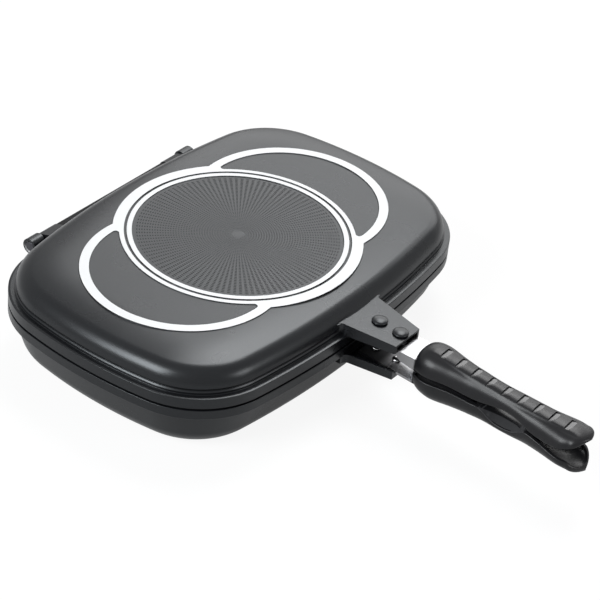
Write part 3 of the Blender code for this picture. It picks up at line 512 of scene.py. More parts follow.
def end_tree(tree, given, made, geometry):
    """Ends a tree with real geometry in its finish."""
    real = wire(tree, "GeometryNodeRealizeInstances", {"Geometry": geometry})
    coated = wire(tree, "GeometryNodeSetMaterial", {
        "Geometry": real, "Material": given.outputs["Finish"]})
    tree.links.new(coated.outputs[0], made.inputs[0])
    return tree


def run_tree(obj, tree, values):
    """Adds the tree to an object, sets its named inputs, and returns the plain mesh it makes."""
    step = obj.modifiers.new(tree.name, "NODES")
    step.node_group = tree
    for item in tree.interface.items_tree:
        if item.in_out == "INPUT" and item.name in values:
            step[item.identifier] = values[item.name]
    return evaluated(obj)


def section_tree():
    tree, given, made = new_tree("carry_section", [("Section", "Object"), ("Finish", "Material")])
    path = wire(tree, "GeometryNodeMeshToCurve", {"Mesh": given.outputs["Geometry"]})
    level_path = wire(tree, "GeometryNodeSetCurveNormal", {"Curve": path}, {"mode": "Z_UP"})
    section = wire(tree, "GeometryNodeObjectInfo", {"Object": given.outputs["Section"]})
    profile = wire(tree, "GeometryNodeMeshToCurve", {"Mesh": section.outputs["Geometry"]})
    swept = wire(tree, "GeometryNodeCurveToMesh", {
        "Curve": level_path, "Profile Curve": profile})
    return end_tree(tree, given, made, swept)


def line_object(name, points, closed):
    """An object of edges only: what Mesh to Curve turns into a curve."""
    edges = [(i, i + 1) for i in range(len(points) - 1)] + ([(len(points) - 1, 0)] if closed else [])
    mesh = bpy.data.meshes.new(name)
    mesh.from_pydata([(a, b, 0) for a, b in points], edges, [])
    return link(name, mesh)


carry_section = section_tree()


def carried(name, profile):
    """A profile of (inset, z) points carried round the outline, with its open ends capped flat."""
    section = line_object(name + "_section", [(-inset, -z) for inset, z in profile], False)
    mesh = run_tree(line_object(name, outline(), True), carry_section,
                    {"Section": section, "Finish": plain_coating})
    bpy.data.objects.remove(section)
    bm = bmesh.new()
    bm.from_mesh(mesh)
    bmesh.ops.holes_fill(bm, edges=[edge for edge in bm.edges if edge.is_boundary], sides=0)
    return mesh_from(name, bm)


# %% [markdown]
# ## The two castings
#
# Seen in section, the upper half has a rim with a flat ledge, a small step whose edge catches
# the light, and a domed shoulder that runs out into the crown. The lower half has a shorter
# rim over a tapering wall and a bigger shoulder. Every outer corner is rounded a little,
# because a cast and coated edge is never sharp.

# %% Upper casting
RIM_RISE = 0.0091
LIP_RISE = 0.0114
LEDGE = 0.0050
SHOULDER = 0.0136
CROWN = 0.0279
CROWN_INSET = 0.0434
SHOULDER_Z = 0.0123
LEAN = math.radians(9.2)
RUN_INSET = LEDGE + SHOULDER - SHOULDER * math.sin(LEAN)
RUN_Z = SHOULDER_Z + SHOULDER * math.cos(LEAN)


def crown_height(inset):
    """Height of the upper casting's outer face from the shoulder inward."""
    share = max(0, (CROWN_INSET - inset) / (CROWN_INSET - RUN_INSET))
    return CROWN - (CROWN - RUN_Z) * share * share


def upper_section():
    insets = [CROWN_INSET + (RUN_INSET - CROWN_INSET) * i / 10 for i in range(10)]
    crown = [(CROWN_INSET + 0.004, CROWN)] + [(inset, crown_height(inset)) for inset in insets]
    dome = arc((LEDGE + SHOULDER, SHOULDER_Z), SHOULDER, math.pi / 2 + LEAN, math.radians(176), 16)
    foot = dome[-1]
    rim = rounded([
        (*dome[-2], 0), (*foot, 0.0003), (LEDGE + 0.0008, LIP_RISE + 0.0003, 0.0002),
        (LEDGE + 0.0001, LIP_RISE + 0.0003, 0.0002), (LEDGE - 0.0006, LIP_RISE - 0.0006, 0.0002),
        (LEDGE - 0.0006, RIM_RISE, 0.0003),
        (0.0014, RIM_RISE, 0.0040), (0, RIM_RISE - 0.0003, 0.0004), (0, RIM_FACE + 0.0006, 0.0002),
        (0.0024, RIM_FACE + 0.0006, 0), (0.0024, RIM_FACE, 0), (LEDGE + WALL, RIM_FACE, 0.0006),
        (LEDGE + WALL + 0.0006, SHOULDER_Z, 0)])
    inner = arc((LEDGE + SHOULDER + 0.0004, SHOULDER_Z), SHOULDER - WALL, math.pi, math.pi / 2, 12)
    return crown + dome[:-2] + rim + inner[1:] + [(CROWN_INSET, CROWN - WALL)]


upper_shell = carried("upper_shell", upper_section())
add_piece("upper_shell", upper_shell, "upper", [disc_coating], ["upper_pan"])

# %% Lower casting
DEPTH = 0.0417
RIM_DROP = 0.0077
STEP_IN = 0.0033
DRAFT = 0.31
BELLY = 0.0210


def lower_section():
    centre_z = BELLY - DEPTH
    belly_inset = STEP_IN - DRAFT * (centre_z + RIM_DROP) + BELLY * math.hypot(1, DRAFT)
    lean = math.atan(DRAFT)
    belly = arc((belly_inset, centre_z), BELLY, 1.5 * math.pi, math.pi + lean, 18)
    rim = rounded([
        (*belly[-1], 0), (STEP_IN, -RIM_DROP, 0.0008), (0, -RIM_DROP, 0.0006), (0, -RIM_FACE, 0.0004),
        (0.0032, -RIM_FACE, 0.0002), (0.0032, -RIM_FACE - 0.0022, 0), (0.0064, -RIM_FACE - 0.0022, 0),
        (0.0064, -RIM_FACE, 0.0002), (LEDGE + WALL, -RIM_FACE, 0.0005),
        (LEDGE + WALL + 0.0050, centre_z + 0.0040, 0)])
    inner = arc((belly_inset, centre_z), BELLY - WALL, math.pi + lean, 1.5 * math.pi, 14)
    flat = belly_inset + 0.012
    return [(flat, -DEPTH)] + belly[:-1] + rim[:-1] + inner + [(flat, WALL - DEPTH)]


lower_shell = carried("lower_shell", lower_section())
add_piece("lower_shell", lower_shell, "lower", [disc_coating], ["lower_pan"])

# %% [markdown]
# ## Raised rings and lobes
#
# Each hob side carries two concentric rings. The outer one swells into two lobes, one each
# side. In plan the whole band is bounded by arcs about three centres, and where two arcs meet
# a small fillet touches both. The fillet's centre is where two circles cross whose radii are
# longer or shorter by the fillet's own radius, so one function finds every joint. A level of
# the rib's side is the same set of loops, a little wider, so the sides are quads between
# levels, and only the machined top is filled flat.

# %% Loops of the ribs
RIB_RISE = 0.0006
INNER_RING = 0.0736
INNER_RING_END = 0.0771
BORE = 0.0791
THIN_RING = 0.0823
BROAD_RING = 0.0870
LOBE_OFFSET = 0.0594
LOBE_IN = 0.0632
LOBE_OUT = 0.0698
CRESCENT_FILLET = 0.0024
NOTCH_FILLET = 0.0016
HUB = Vector((LOBE_OFFSET, 0))


def crossing(ring, lobe):
    """Where a circle about the centre crosses one about the lobe's centre, in the upper half."""
    x = (ring * ring - lobe * lobe + LOBE_OFFSET * LOBE_OFFSET) / (2 * LOBE_OFFSET)
    return Vector((x, math.sqrt(ring * ring - x * x)))


def angle_from(centre, point):
    return math.atan2(point[1] - centre[1], point[0] - centre[0])


def joint_between(ring, lobe):
    """Where two circles cross, with its angle about the centre and about the lobe's centre."""
    joint = crossing(ring, lobe)
    return joint, angle_from((0, 0), joint), angle_from(HUB, joint)


def lobed_loops(grow):
    """The outer band's loops, each side moved outward by grow."""
    fillet = NOTCH_FILLET - grow
    joint, ring_turn, lobe_turn = joint_between(BROAD_RING + grow + fillet, LOBE_OUT + grow + fillet)
    ring = arc((0, 0), BROAD_RING + grow, ring_turn, math.pi - ring_turn, 40)
    lobe = arc(HUB, LOBE_OUT + grow, -lobe_turn, lobe_turn, 96)
    notch = arc(joint, fillet, math.pi + lobe_turn, math.pi + ring_turn, 5)
    rim = []
    for part in (lobe, notch, ring, mirror(notch, -1, 1), mirror(lobe, -1, 1), mirror(notch, -1, -1),
                 mirror(ring, 1, -1), mirror(notch, 1, -1)):
        rim += part[:-1]
    fillet = CRESCENT_FILLET - grow
    joint, ring_turn, lobe_turn = joint_between(THIN_RING + grow + fillet, LOBE_IN - grow - fillet)
    lobe = arc(HUB, LOBE_IN - grow, -lobe_turn, lobe_turn, 84)
    ring = arc((0, 0), THIN_RING + grow, ring_turn, -ring_turn, 48)
    tip = arc(joint, fillet, lobe_turn, math.pi + ring_turn, 8)
    crescent = lobe[:-1] + tip[:-1] + ring[:-1] + mirror(tip, 1, -1)[:-1]
    bore = arc((0, 0), BORE - grow, 0, math.tau, 160)[:-1]
    return [rim, bore, crescent, [(-a, b) for a, b in crescent]]


def ring_loops(grow):
    return [arc((0, 0), radius, 0, math.tau, 160)[:-1] for radius in (INNER_RING_END + grow, INNER_RING - grow)]


# %% Ribs
# How much wider a level is than the top, whether its height counts from the top, and its height
RIB_LEVELS = (
    (0, True, -0.00001), (0.00010, True, -0.00008), (0.00016, False, 0.00022),
    (0.00034, False, 0.00004), (0.0008, False, -0.00006))


def rib_mesh(name, loops_at, top, surface, side):
    """Ribs that stand on a surface: sides of quads between levels and a flat top; side is 1 or -1."""
    bm = bmesh.new()
    rows = []
    for grow, from_top, rise in RIB_LEVELS:
        rows.append([
            [bm.verts.new((x, y, side * ((top if from_top else surface(x, y)) + rise))) for x, y in loop]
            for loop in loops_at(grow)])
    for low, high in zip(rows, rows[1:]):
        for first, second in zip(low, high):
            for i in range(len(first)):
                bm.faces.new((first[i - 1], first[i], second[i], second[i - 1]))
    edges = [bm.edges.get((loop[i - 1], loop[i])) for loop in rows[0] for i in range(len(loop))]
    cap = bmesh.ops.triangle_fill(bm, edges=edges, use_beauty=True)
    for face in cap["geom"]:
        if isinstance(face, bmesh.types.BMFace):
            face.material_index = 1
    return mesh_from(name, bm)


def flipped_outward(mesh, side):
    """Points the faces of an open rib mesh away from the pan."""
    total = sum(face.normal.z * face.area for face in mesh.polygons)
    if total * side < 0:
        mesh.flip_normals()
    return mesh


def upper_surface(x, y):
    return crown_height(inset_at(x, y))


def lower_surface(x, y):
    return DEPTH


for body, surface, level, side in (
        ("upper", upper_surface, CROWN, 1), ("lower", lower_surface, DEPTH, -1)):
    for title, loops in (("centre_ring", ring_loops), ("lobed_ring", lobed_loops)):
        name = f"{body}_{title}"
        mesh = flipped_outward(rib_mesh(name, loops, level + RIB_RISE, surface, side), side)
        add_piece(name, mesh, body, [plain_coating, bare_aluminium])

# %% [markdown]
# ## Grill ridges
#
# Inside the upper half, low parallel ridges brown the food. They are all one shape at an even
# pitch, so a single ridge is an instance on a line of points, and the tree takes the number of
# ridges and their pitch as named inputs.

# %% Grill ridges
RIDGE_PITCH = 0.0140
RIDGE_MARGIN = 0.0460
RIDGE_WIDTH = 0.0040
RIDGE_TIP = 0.0020
RIDGE_RISE = 0.0025


def row_tree():
    tree, given, made = new_tree("set_in_a_row", [("Count", "Int"), ("Pitch", "Float"), ("Finish", "Material")])
    spread = wire(tree, "ShaderNodeMath", {0: given.outputs["Count"], 1: -0.5}, {"operation": "MULTIPLY"})
    offset = wire(tree, "ShaderNodeMath", {0: spread, 1: 0.5}, {"operation": "ADD"})
    start = wire(tree, "ShaderNodeMath", {0: offset, 1: given.outputs["Pitch"]},
                 {"operation": "MULTIPLY"})
    first = wire(tree, "ShaderNodeCombineXYZ", {"Y": start})
    pitch = wire(tree, "ShaderNodeCombineXYZ", {"Y": given.outputs["Pitch"]})
    row = wire(tree, "GeometryNodeMeshLine", {
        "Count": given.outputs["Count"], "Start Location": first, "Offset": pitch})
    placed = wire(tree, "GeometryNodeInstanceOnPoints", {
        "Points": row, "Instance": given.outputs["Geometry"]})
    return end_tree(tree, given, made, placed)


def ridge():
    """One ridge across the middle, with its ends sloped as its sides are."""
    ceiling = CROWN - WALL
    half = RIDGE_WIDTH / 2
    tip = RIDGE_TIP / 2
    profile = rounded([(half, ceiling + 0.0005, 0), (half, ceiling, 0), (tip, ceiling - RIDGE_RISE, 0.0006),
                       (-tip, ceiling - RIDGE_RISE, 0.0006), (-half, ceiling, 0),
                       (-half, ceiling + 0.0005, 0)], 3)
    reach = PAN_HALF_LENGTH - RIDGE_MARGIN
    slope = (RIDGE_WIDTH - RIDGE_TIP) / 2
    return loft("ridge", [[(end * (reach - slope * (ceiling - z) / RIDGE_RISE), y, z) for y, z in profile]
                          for end in (-1, 1)])


ridge_count = int(2 * (PAN_HALF_DEPTH - RIDGE_MARGIN) / RIDGE_PITCH) + 1
ridges = run_tree(link("grill_ridges", ridge()), row_tree(),
                  {"Count": ridge_count, "Pitch": RIDGE_PITCH, "Finish": plain_coating})
add_piece("grill_ridges", ridges, "upper", [plain_coating])
print("grill ridges:", ridge_count)

# %% [markdown]
# ## Shapes cut from one another
#
# The handle brackets and the hinge knuckles are small castings with holes. The shortest way to
# them is the way a pattern maker would take: make the block, cut the hollow and the holes with
# Boolean modifiers, then let a Bevel modifier break every edge.

# %% Cutting helpers
def prism(name, loop, low, high, along="Z"):
    """A loop extruded along Z or X; low and high may be heights or functions of (a, b)."""
    def level(value, a, b):
        return value(a, b) if callable(value) else value

    rings = []
    for value in (low, high):
        if along == "Z":
            rings.append([(a, b, level(value, a, b)) for a, b in loop])
        else:
            rings.append([(level(value, a, b), a, b) for a, b in loop])
    return loft(name, rings)


def upright(name, radius, y, low, high):
    return prism(name, arc((0, y), radius, 0, math.tau, 32)[:-1], low, high)


def oblong(half, start, end):
    """A rectangle of the plan, from one place along Y to another."""
    return [(-half, start), (half, start), (half, end), (-half, end)]


def combine(obj, shapes, operation):
    """Adds or cuts shapes on an object, and returns the object with the result as its mesh."""
    helpers = []
    for shape in shapes:
        helper = link(shape.name, shape)
        step = obj.modifiers.new(shape.name, "BOOLEAN")
        step.operation = operation
        step.object = helper
        helpers.append(helper)
    name = obj.name
    mesh = evaluated(obj)
    for helper in helpers:
        bpy.data.objects.remove(helper)
    return link(name, mesh)


def softened(obj, width):
    """The object's mesh with its edges broken by a bevel."""
    step = obj.modifiers.new("soft_edges", "BEVEL")
    step.width = width
    step.segments = 2
    step.limit_method = "ANGLE"
    step.angle_limit = math.radians(35)
    return evaluated(obj)


# %% [markdown]
# ## Handle brackets
#
# Each half has a bracket cast on its front wall. The upper one is a plate with side walls that
# reach down round the steel shank, and its top slopes up to the pan and sweeps into the dome.
# The lower one is a tray with the shank riveted inside. The shank seat and the rivet holes are
# cut with a little clearance.

# %% Bracket shapes
BRACKET_LENGTH = 0.0348
BRACKET_HALF_END = 0.0136
BRACKET_HALF_ROOT = 0.0196
FLARE = 0.0050
BRACKET_WALL = 0.0019
BRACKET_TOP = 0.0150
BRACKET_TOP_SLOPE = 0.0022
UPPER_BRACKET_LOW = 0.0084
LOWER_BRACKET_TOP = -0.0063
LOWER_BRACKET_HEIGHT = 0.0065
PLATE = 0.0016
SEAT_GAP = 0.0003
SHANK_START = PAN_HALF_DEPTH + BRACKET_WALL + 0.0030
SHANK_HALF = 0.0113
SHANK_THICK = 0.0018
SHANK_TOP = 0.0108
ROOT_FILLET = 0.0045
RIVET_HOLE = 0.0025
BOSS = 0.0048
SEAT_HALF = SHANK_HALF + SEAT_GAP
SEAT_NEAR = SEAT_GAP - SHANK_START
SEAT_FAR = -BRACKET_END - 0.002
RIVET_PLACES = (-BRACKET_END + 0.0060, -BRACKET_END + 0.0232)


def bracket_half(y):
    return BRACKET_HALF_END + (BRACKET_HALF_ROOT - BRACKET_HALF_END) * (BRACKET_END + y) / BRACKET_LENGTH


def bracket_top(y):
    return BRACKET_TOP + BRACKET_TOP_SLOPE * (BRACKET_END + y) / BRACKET_LENGTH


def front_edge(x, inset):
    radius = FRONT_ARC_RADIUS - inset
    return -FRONT_CENTRE - math.sqrt(radius * radius - x * x)


def bracket_plan(inset, root_inset):
    wall = front_edge(bracket_half(-PAN_HALF_DEPTH) + FLARE, inset) + SEAT_GAP
    start = wall - FLARE
    half = bracket_half(start)
    flare = arc((half + FLARE, start), FLARE, math.pi, math.pi / 2, 8)
    right = [(BRACKET_HALF_END, -BRACKET_END)] + flare + [(half + FLARE, front_edge(0, root_inset))]
    return right + [(-a, b) for a, b in reversed(right)]


def dome_inset(z):
    """How far in from the outline the upper casting's shoulder is at a height."""
    rise = max(0, z - SHOULDER_Z)
    return LEDGE + 0.0004 + SHOULDER - math.sqrt(SHOULDER ** 2 - rise ** 2)


def hollow_plan(end):
    root = -PAN_HALF_DEPTH - BRACKET_WALL
    far = bracket_half(end) - BRACKET_WALL
    near = bracket_half(root) - BRACKET_WALL
    return [(-far, end), (far, end), (near, root), (-near, root)]


def cut_bracket(block, hollow, boss_heights, seat, low, high):
    """A bracket's block hollowed out, with a boss round each rivet, its shank seat and rivet holes."""
    block = combine(block, [hollow], "DIFFERENCE")
    bosses = [upright("boss", BOSS, y, *boss_heights(y)) for y in RIVET_PLACES]
    block = combine(block, bosses, "UNION")
    holes = [upright("hole", RIVET_HOLE, y, low, high) for y in RIVET_PLACES]
    return softened(combine(block, [seat] + holes, "DIFFERENCE"), 0.0005)


def lower_shank_top(y):
    return -0.0052 - 0.0018 * min(1, (-y - SHANK_START) / (GRIP_FRONT - SHANK_START))


# %% Upper bracket
def root_sweep():
    """The hollow fillet between the bracket's top and the shoulder, narrowing to nothing at its ends."""
    rings = []
    reach = bracket_half(-PAN_HALF_DEPTH) + FLARE
    for i in range(41):
        x = reach * (i / 20 - 1)
        radius = max(0.0004, ROOT_FILLET * (1 - abs(x) / reach) ** 0.35)
        top = bracket_top(-PAN_HALF_DEPTH)
        steep = math.pi / 2 - math.asin((top - SHOULDER_Z) / SHOULDER)
        run = radius * math.tan(steep / 2)
        wall = front_edge(x, dome_inset(top))
        centre = (wall - run, top + radius)
        path = arc(centre, radius, -math.pi / 2, steep - math.pi / 2, 8)
        rings.append([(x, y, z) for y, z in path + [(wall + 0.003, path[-1][1] - 0.0005),
                                                    (wall + 0.003, top - 0.0006), (path[0][0], top - 0.0006)]])
    return loft("root_sweep", rings)


def upper_bracket():
    low = UPPER_BRACKET_LOW
    rings = []
    for share in (0, 0.12, 0.35, 0.45, 0.55, 0.65, 0.74, 0.82, 0.88, 0.94, 1):
        root = low + (bracket_top(-PAN_HALF_DEPTH) - low) * share
        plan = bracket_plan(dome_inset(root), dome_inset(root) + 0.004)
        rings.append([(x, y, low + (bracket_top(y) - low) * share) for x, y in plan])
    block = combine(link("upper_bracket", loft("upper_bracket", rings)), [root_sweep()], "UNION")
    hollow = prism("hollow", hollow_plan(SEAT_FAR), low - 0.002, lambda x, y: bracket_top(y) - PLATE)
    seat = prism("seat", oblong(SEAT_HALF, SEAT_FAR, SEAT_NEAR), low - 0.002, SHANK_TOP + SEAT_GAP)
    return cut_bracket(block, hollow, lambda y: (low, bracket_top(y) - PLATE / 2), seat, low - 0.002, 0.03)


add_piece("upper_bracket", upper_bracket(), "upper", [plain_coating])

# %% Lower bracket
def lower_bracket():
    top = LOWER_BRACKET_TOP
    low = top - LOWER_BRACKET_HEIGHT
    block = link("lower_bracket", prism("lower_bracket", bracket_plan(0, LOWER_BRACKET_HEIGHT), low, top))
    hollow = prism("hollow", hollow_plan(BRACKET_WALL - BRACKET_END), low + PLATE, top + 0.002)
    under = SHANK_THICK + SEAT_GAP
    section = [
        (SEAT_FAR, lower_shank_top(SEAT_FAR) - under), (SEAT_NEAR, lower_shank_top(-SHANK_START) - under),
        (SEAT_NEAR, top + 0.002), (SEAT_FAR, top + 0.002)]
    seat = prism("seat", section, -SEAT_HALF, SEAT_HALF, "X")
    return cut_bracket(block, hollow, lambda y: (low + PLATE / 2, top - SHANK_THICK), seat,
                       low - 0.002, top + 0.002)


add_piece("lower_bracket", lower_bracket(), "lower", [plain_coating])

# %% [markdown]
# ## Hinge
#
# Four knuckles sit behind the pan: the thick outer two belong to the lower half and the slimmer
# inner two to the upper half. A rod runs through them all, with a head at one end and a cap at
# the other, each in a counterbore. A black tube covers the rod between the inner knuckles. The
# whole hinge sits 5 mm to one side. The knuckles repeat, so one knuckle is made for each half
# and Geometry Nodes sets it on its two places.

# %% Knuckles on their places
INNER_RADIUS = 0.0047
OUTER_RADIUS = 0.0059
INNER_START = 0.0578
INNER_END = INNER_START + 0.0175
OUTER_START = INNER_END + 0.0010
OUTER_END = OUTER_START + 0.0112
ROD = 0.0025
HEAD = 0.0037
COUNTERBORE = 0.0044
COUNTERBORE_DEPTH = 0.0018


def places_tree():
    tree, given, made = new_tree("set_on_places", [("Piece", "Object"), ("Finish", "Material")])
    points = wire(tree, "GeometryNodeMeshToPoints", {"Mesh": given.outputs["Geometry"]})
    piece = wire(tree, "GeometryNodeObjectInfo", {"Object": given.outputs["Piece"]})
    placed = wire(tree, "GeometryNodeInstanceOnPoints", {
        "Points": points, "Instance": piece.outputs["Geometry"]})
    return end_tree(tree, given, made, placed)


set_on_places = places_tree()


def copies(name, mesh, places, finish):
    """One plain mesh with a copy of a mesh on each place."""
    piece = link(name + "_single", mesh)
    points = bpy.data.meshes.new(name)
    points.from_pydata(places, [], [])
    made = run_tree(link(name, points), set_on_places, {"Piece": piece, "Finish": finish})
    bpy.data.objects.remove(piece)
    return made


def turned_x(name, profile, closed=False):
    """A shape turned about the hinge axis from (x, radius) points; x counts from the hinge's middle."""
    rings = [[(x + hinge.x, y + HINGE_Y, z) for y, z in arc((0, 0), r, 0, math.tau, 40)[:-1]]
             for x, r in profile]
    return loft(name, rings, closed)


def rod_bore():
    """The rod's bore through every knuckle, wider at its two outer ends."""
    seat = OUTER_END - COUNTERBORE_DEPTH
    clear = OUTER_END + 0.002
    right = [(seat, ROD + SEAT_GAP), (seat, COUNTERBORE), (clear, COUNTERBORE)]
    return turned_x("rod_bore", [(-x, r) for x, r in reversed(right)] + right)


def knuckle(side, rim_height, radius, start, end):
    """One knuckle and its arm, at the middle of the hinge; side is 1 or -1."""
    root = -front_edge(end + hinge.x, 0) - 0.0008
    reach = math.hypot(HINGE_Y - root, rim_height)
    heading = math.atan2(-rim_height, HINGE_Y - root) + math.asin(radius / reach)
    span = math.sqrt(reach * reach - radius * radius)
    touch = (root + span * math.cos(heading), rim_height + span * math.sin(heading))
    over = math.tau + math.atan2(touch[1], touch[0] - HINGE_Y)
    under = math.pi - math.asin(RIM_FACE / radius)
    loop = [(root, RIM_FACE)] + arc((HINGE_Y, 0), radius, under, over, 36) + [(root, rim_height)]
    half = (end - start) / 2
    return prism("knuckle", [(a, side * b) for a, b in loop], -half, half, "X")


for body, side, rim_height, radius, start, end in (
        ("upper", 1, RIM_RISE, INNER_RADIUS, INNER_START, INNER_END),
        ("lower", -1, RIM_DROP, OUTER_RADIUS, OUTER_START, OUTER_END)):
    name = body + "_knuckles"
    middle = (start + end) / 2
    places = [(hinge.x - middle, 0, 0), (hinge.x + middle, 0, 0)]
    pair = copies(name, knuckle(side, rim_height, radius, start, end), places, plain_coating)
    bored = combine(link(name, pair), [rod_bore()], "DIFFERENCE")
    add_piece(name, softened(bored, 0.0004), body, [plain_coating])

# %% Rod, cap and tube
head_in = OUTER_END - COUNTERBORE_DEPTH + SEAT_GAP
head_out = OUTER_END - 0.0003
rod_profile = rounded([(-head_out, 0.0004, 0), (-head_out, HEAD, 0.0005), (-head_in, HEAD, 0),
                       (-head_in, ROD, 0), (head_out, ROD, 0.0003), (head_out, 0.0004, 0)])
bore = ROD + SEAT_GAP
cap_profile = rounded([(head_in, bore, 0), (head_in, HEAD, 0.0002), (head_out, HEAD, 0.0005),
                       (head_out, bore, 0.0001), (head_in + 0.0002, bore, 0)])
reach = INNER_START - SEAT_GAP
tube_profile = rounded([(-reach, bore, 0), (-reach, 0.0043, 0.0005), (reach, 0.0043, 0.0005),
                        (reach, bore, 0), (0, bore, 0)])
for name, profile, closed, finish, node in (
        ("rod", rod_profile, False, rod_steel, "hinge_rod"),
        ("rod_cap", cap_profile, True, rod_steel, "hinge_rod_cap"),
        ("tube", tube_profile, True, black_steel, "hinge_sleeve")):
    slot = "black_steel" if name == "tube" else "polished_steel"
    add_piece(name, turned_x(name, profile, closed), "lower", [finish], [node])

# %% [markdown]
# ## Rivets
#
# Two rivets hold each shank. The upper ones show domed, coated heads; the lower ones show their
# shiny formed tails. One rivet is a profile turned about its own axis.

# %% Rivets
RIVET = 0.0022
RIVET_HEAD = {1: 0.0056, -1: 0.0054}
RIVET_TAIL = 0.0033
LOWER_HEAD_SEAT = -0.0128


def turned_z(name, profile, y):
    rings = [[(x, b + y, z) for x, b in arc((0, 0), r, 0, math.tau, 48)[:-1]] for r, z in profile]
    return loft(name, rings)


def dome_profile(radius, base, rise, up):
    """A domed head from its crown down to its seat."""
    path = []
    for i in range(9):
        angle = math.radians(4 + 80 * i / 8)
        path.append((radius * math.sin(angle) / math.sin(math.radians(84)),
                     base + up * rise * (0.16 + 0.84 * math.cos(angle))))
    return path + [(radius, base + up * 0.0001), (radius - 0.0001, base)]


def rivet(name, y, seat, tail_seat, up):
    head = dome_profile(RIVET_HEAD[up], seat + up * SEAT_GAP, 0.0020, up)
    tail = dome_profile(RIVET_TAIL, tail_seat - up * SEAT_GAP, 0.0015, -up)
    return turned_z(name, head + [(RIVET, head[-1][1]), (RIVET, tail[-1][1])] + tail[::-1], y)


for number, y in enumerate(RIVET_PLACES, 1):
    for body, seat, tail_seat, up, slot, finish in (
            ("upper", bracket_top(y + 0.0054), SHANK_TOP - SHANK_THICK, 1, "charcoal_coating", plain_coating),
            ("lower", LOWER_HEAD_SEAT, lower_shank_top(y), -1, "polished_steel", rivet_steel)):
        node = f"{body}_rivet_{number}"
        mesh = rivet(node + "_turned", y, seat, tail_seat, up)
        add_piece(node + "_turned", mesh, body, [finish], [node])

# %% [markdown]
# ## Grips
#
# A grip is a long moulded shell. Its section is a soft arch over a flat inner face, and its
# width, crown and edge change along it. So it is a loft: each row of a table has a place along
# the grip, the half width, and the crown and edge of the upper and of the lower grip. A smooth
# curve is drawn through the rows, and a ring of points is laid at each of many stations.

# %% Grip tables
GRIP_HALF = 0.0155
GRIP_HEIGHT = 0.0202
CROWN_COLUMN = {1: 2, -1: 4}
GRIP_SHARES = (
    (0.000, 0.58, 0.64, 0.20, 0.50, 0.04), (0.006, 0.71, 0.74, 0.20, 0.59, 0.03),
    (0.021, 0.84, 0.85, 0.21, 0.70, 0.02), (0.046, 0.94, 0.94, 0.22, 0.79, 0.01),
    (0.075, 0.99, 0.99, 0.22, 0.85, 0.01), (0.113, 1.00, 0.99, 0.22, 0.90, 0.01),
    (0.160, 0.93, 0.96, 0.22, 0.90, 0.01), (0.204, 0.86, 0.92, 0.21, 0.87, 0.01),
    (0.250, 0.80, 0.89, 0.19, 0.84, 0.02), (0.300, 0.75, 0.85, 0.15, 0.81, 0.05),
    (0.350, 0.71, 0.83, 0.13, 0.79, 0.08), (0.400, 0.66, 0.80, 0.13, 0.78, 0.10),
    (0.440, 0.63, 0.78, 0.16, 0.76, 0.25), (0.480, 0.61, 0.76, 0.20, 0.74, 0.39),
    (0.530, 0.61, 0.74, 0.25, 0.74, 0.44), (0.580, 0.64, 0.73, 0.25, 0.74, 0.40),
    (0.620, 0.68, 0.72, 0.22, 0.74, 0.31), (0.670, 0.74, 0.71, 0.14, 0.76, 0.08),
    (0.710, 0.78, 0.71, 0.06, 0.76, 0.08), (0.760, 0.83, 0.70, 0.03, 0.76, 0.13),
    (0.800, 0.88, 0.70, 0.03, 0.76, 0.17), (0.850, 0.93, 0.70, 0.06, 0.77, 0.24),
    (0.890, 0.94, 0.69, 0.12, 0.78, 0.28), (0.930, 0.84, 0.67, 0.22, 0.82, 0.33),
    (0.960, 0.68, 0.64, 0.32, 0.83, 0.45), (0.982, 0.45, 0.60, 0.43, 0.81, 0.57),
    (1.000, 0.14, 0.54, 0.49, 0.78, 0.66))


def along_table(table, along, column):
    """A column of a table at a place along it, on a smooth curve through its rows."""
    i = max(k for k in range(len(table) - 1) if table[k][0] <= along + 1e-9)
    p0, p1, p2 = table[max(i - 1, 0)], table[i], table[i + 1]
    p3 = table[min(i + 2, len(table) - 1)]
    span = p2[0] - p1[0]
    t = (along - p1[0]) / span
    m1 = span * (p2[column] - p0[column]) / max(p2[0] - p0[0], 1e-6)
    m2 = span * (p3[column] - p1[column]) / max(p3[0] - p1[0], 1e-6)
    t2, t3 = t * t, t * t * t
    return ((2 * t3 - 3 * t2 + 1) * p1[column] + (t3 - 2 * t2 + t) * m1
            + (3 * t2 - 2 * t3) * p2[column] + (t3 - t2) * m2)


# %% [markdown]
# The crown of each grip carries nine ramped notches. Their floors follow the crown, so each is
# worked out at its own place, and one Boolean cuts all nine. The lower grip's scallops leave a
# raised middle with sloping sides in a matt finish, whose lighter grey is partly painted light.
# Its tail is cored out behind a thin edge, and its front has a trough each side of the socket.

# %% Grip shapes
NOTCHES = 9
NOTCH_START = 0.0165
NOTCH_PITCH = 0.01212
NOTCH_LENGTH = 0.0050
NOTCH_HALF = 0.0054
NOTCH_DEPTH = 0.0011
SECTION_STEPS = 64
SECTION_POWER = 2.3
SPINE_HALF = 0.0060
SPINE_RISE = 0.0006
TIP_START = 0.93
SHELL = 0.0022
MOUTH_ROOF = -0.0067
MOUTH_DEPTH = 0.0080
MOUTH_STEP = 0.0030
SLOT_HALF = 0.0070
SLOT_DEPTH = 0.0500
THIN_SHELL = 0.0014
LOWER_SEAT = -0.0088
SCALLOP_MARGIN = 0.0014
SCALLOP_SLOPE = 0.84
SCALLOP = ((0.400, 0, 0.05), (0.440, 0, 0.38), (0.480, 0, 0.48), (0.530, 0, 0.51),
           (0.580, 0, 0.51), (0.620, 0, 0.48), (0.670, 0, 0.12))


def smooth_step(value, low, high):
    share = min(1, max(0, (value - low) / (high - low)))
    return share * share * (3 - 2 * share)


def grip_y(along):
    return -GRIP_FRONT - GRIP_LENGTH * along


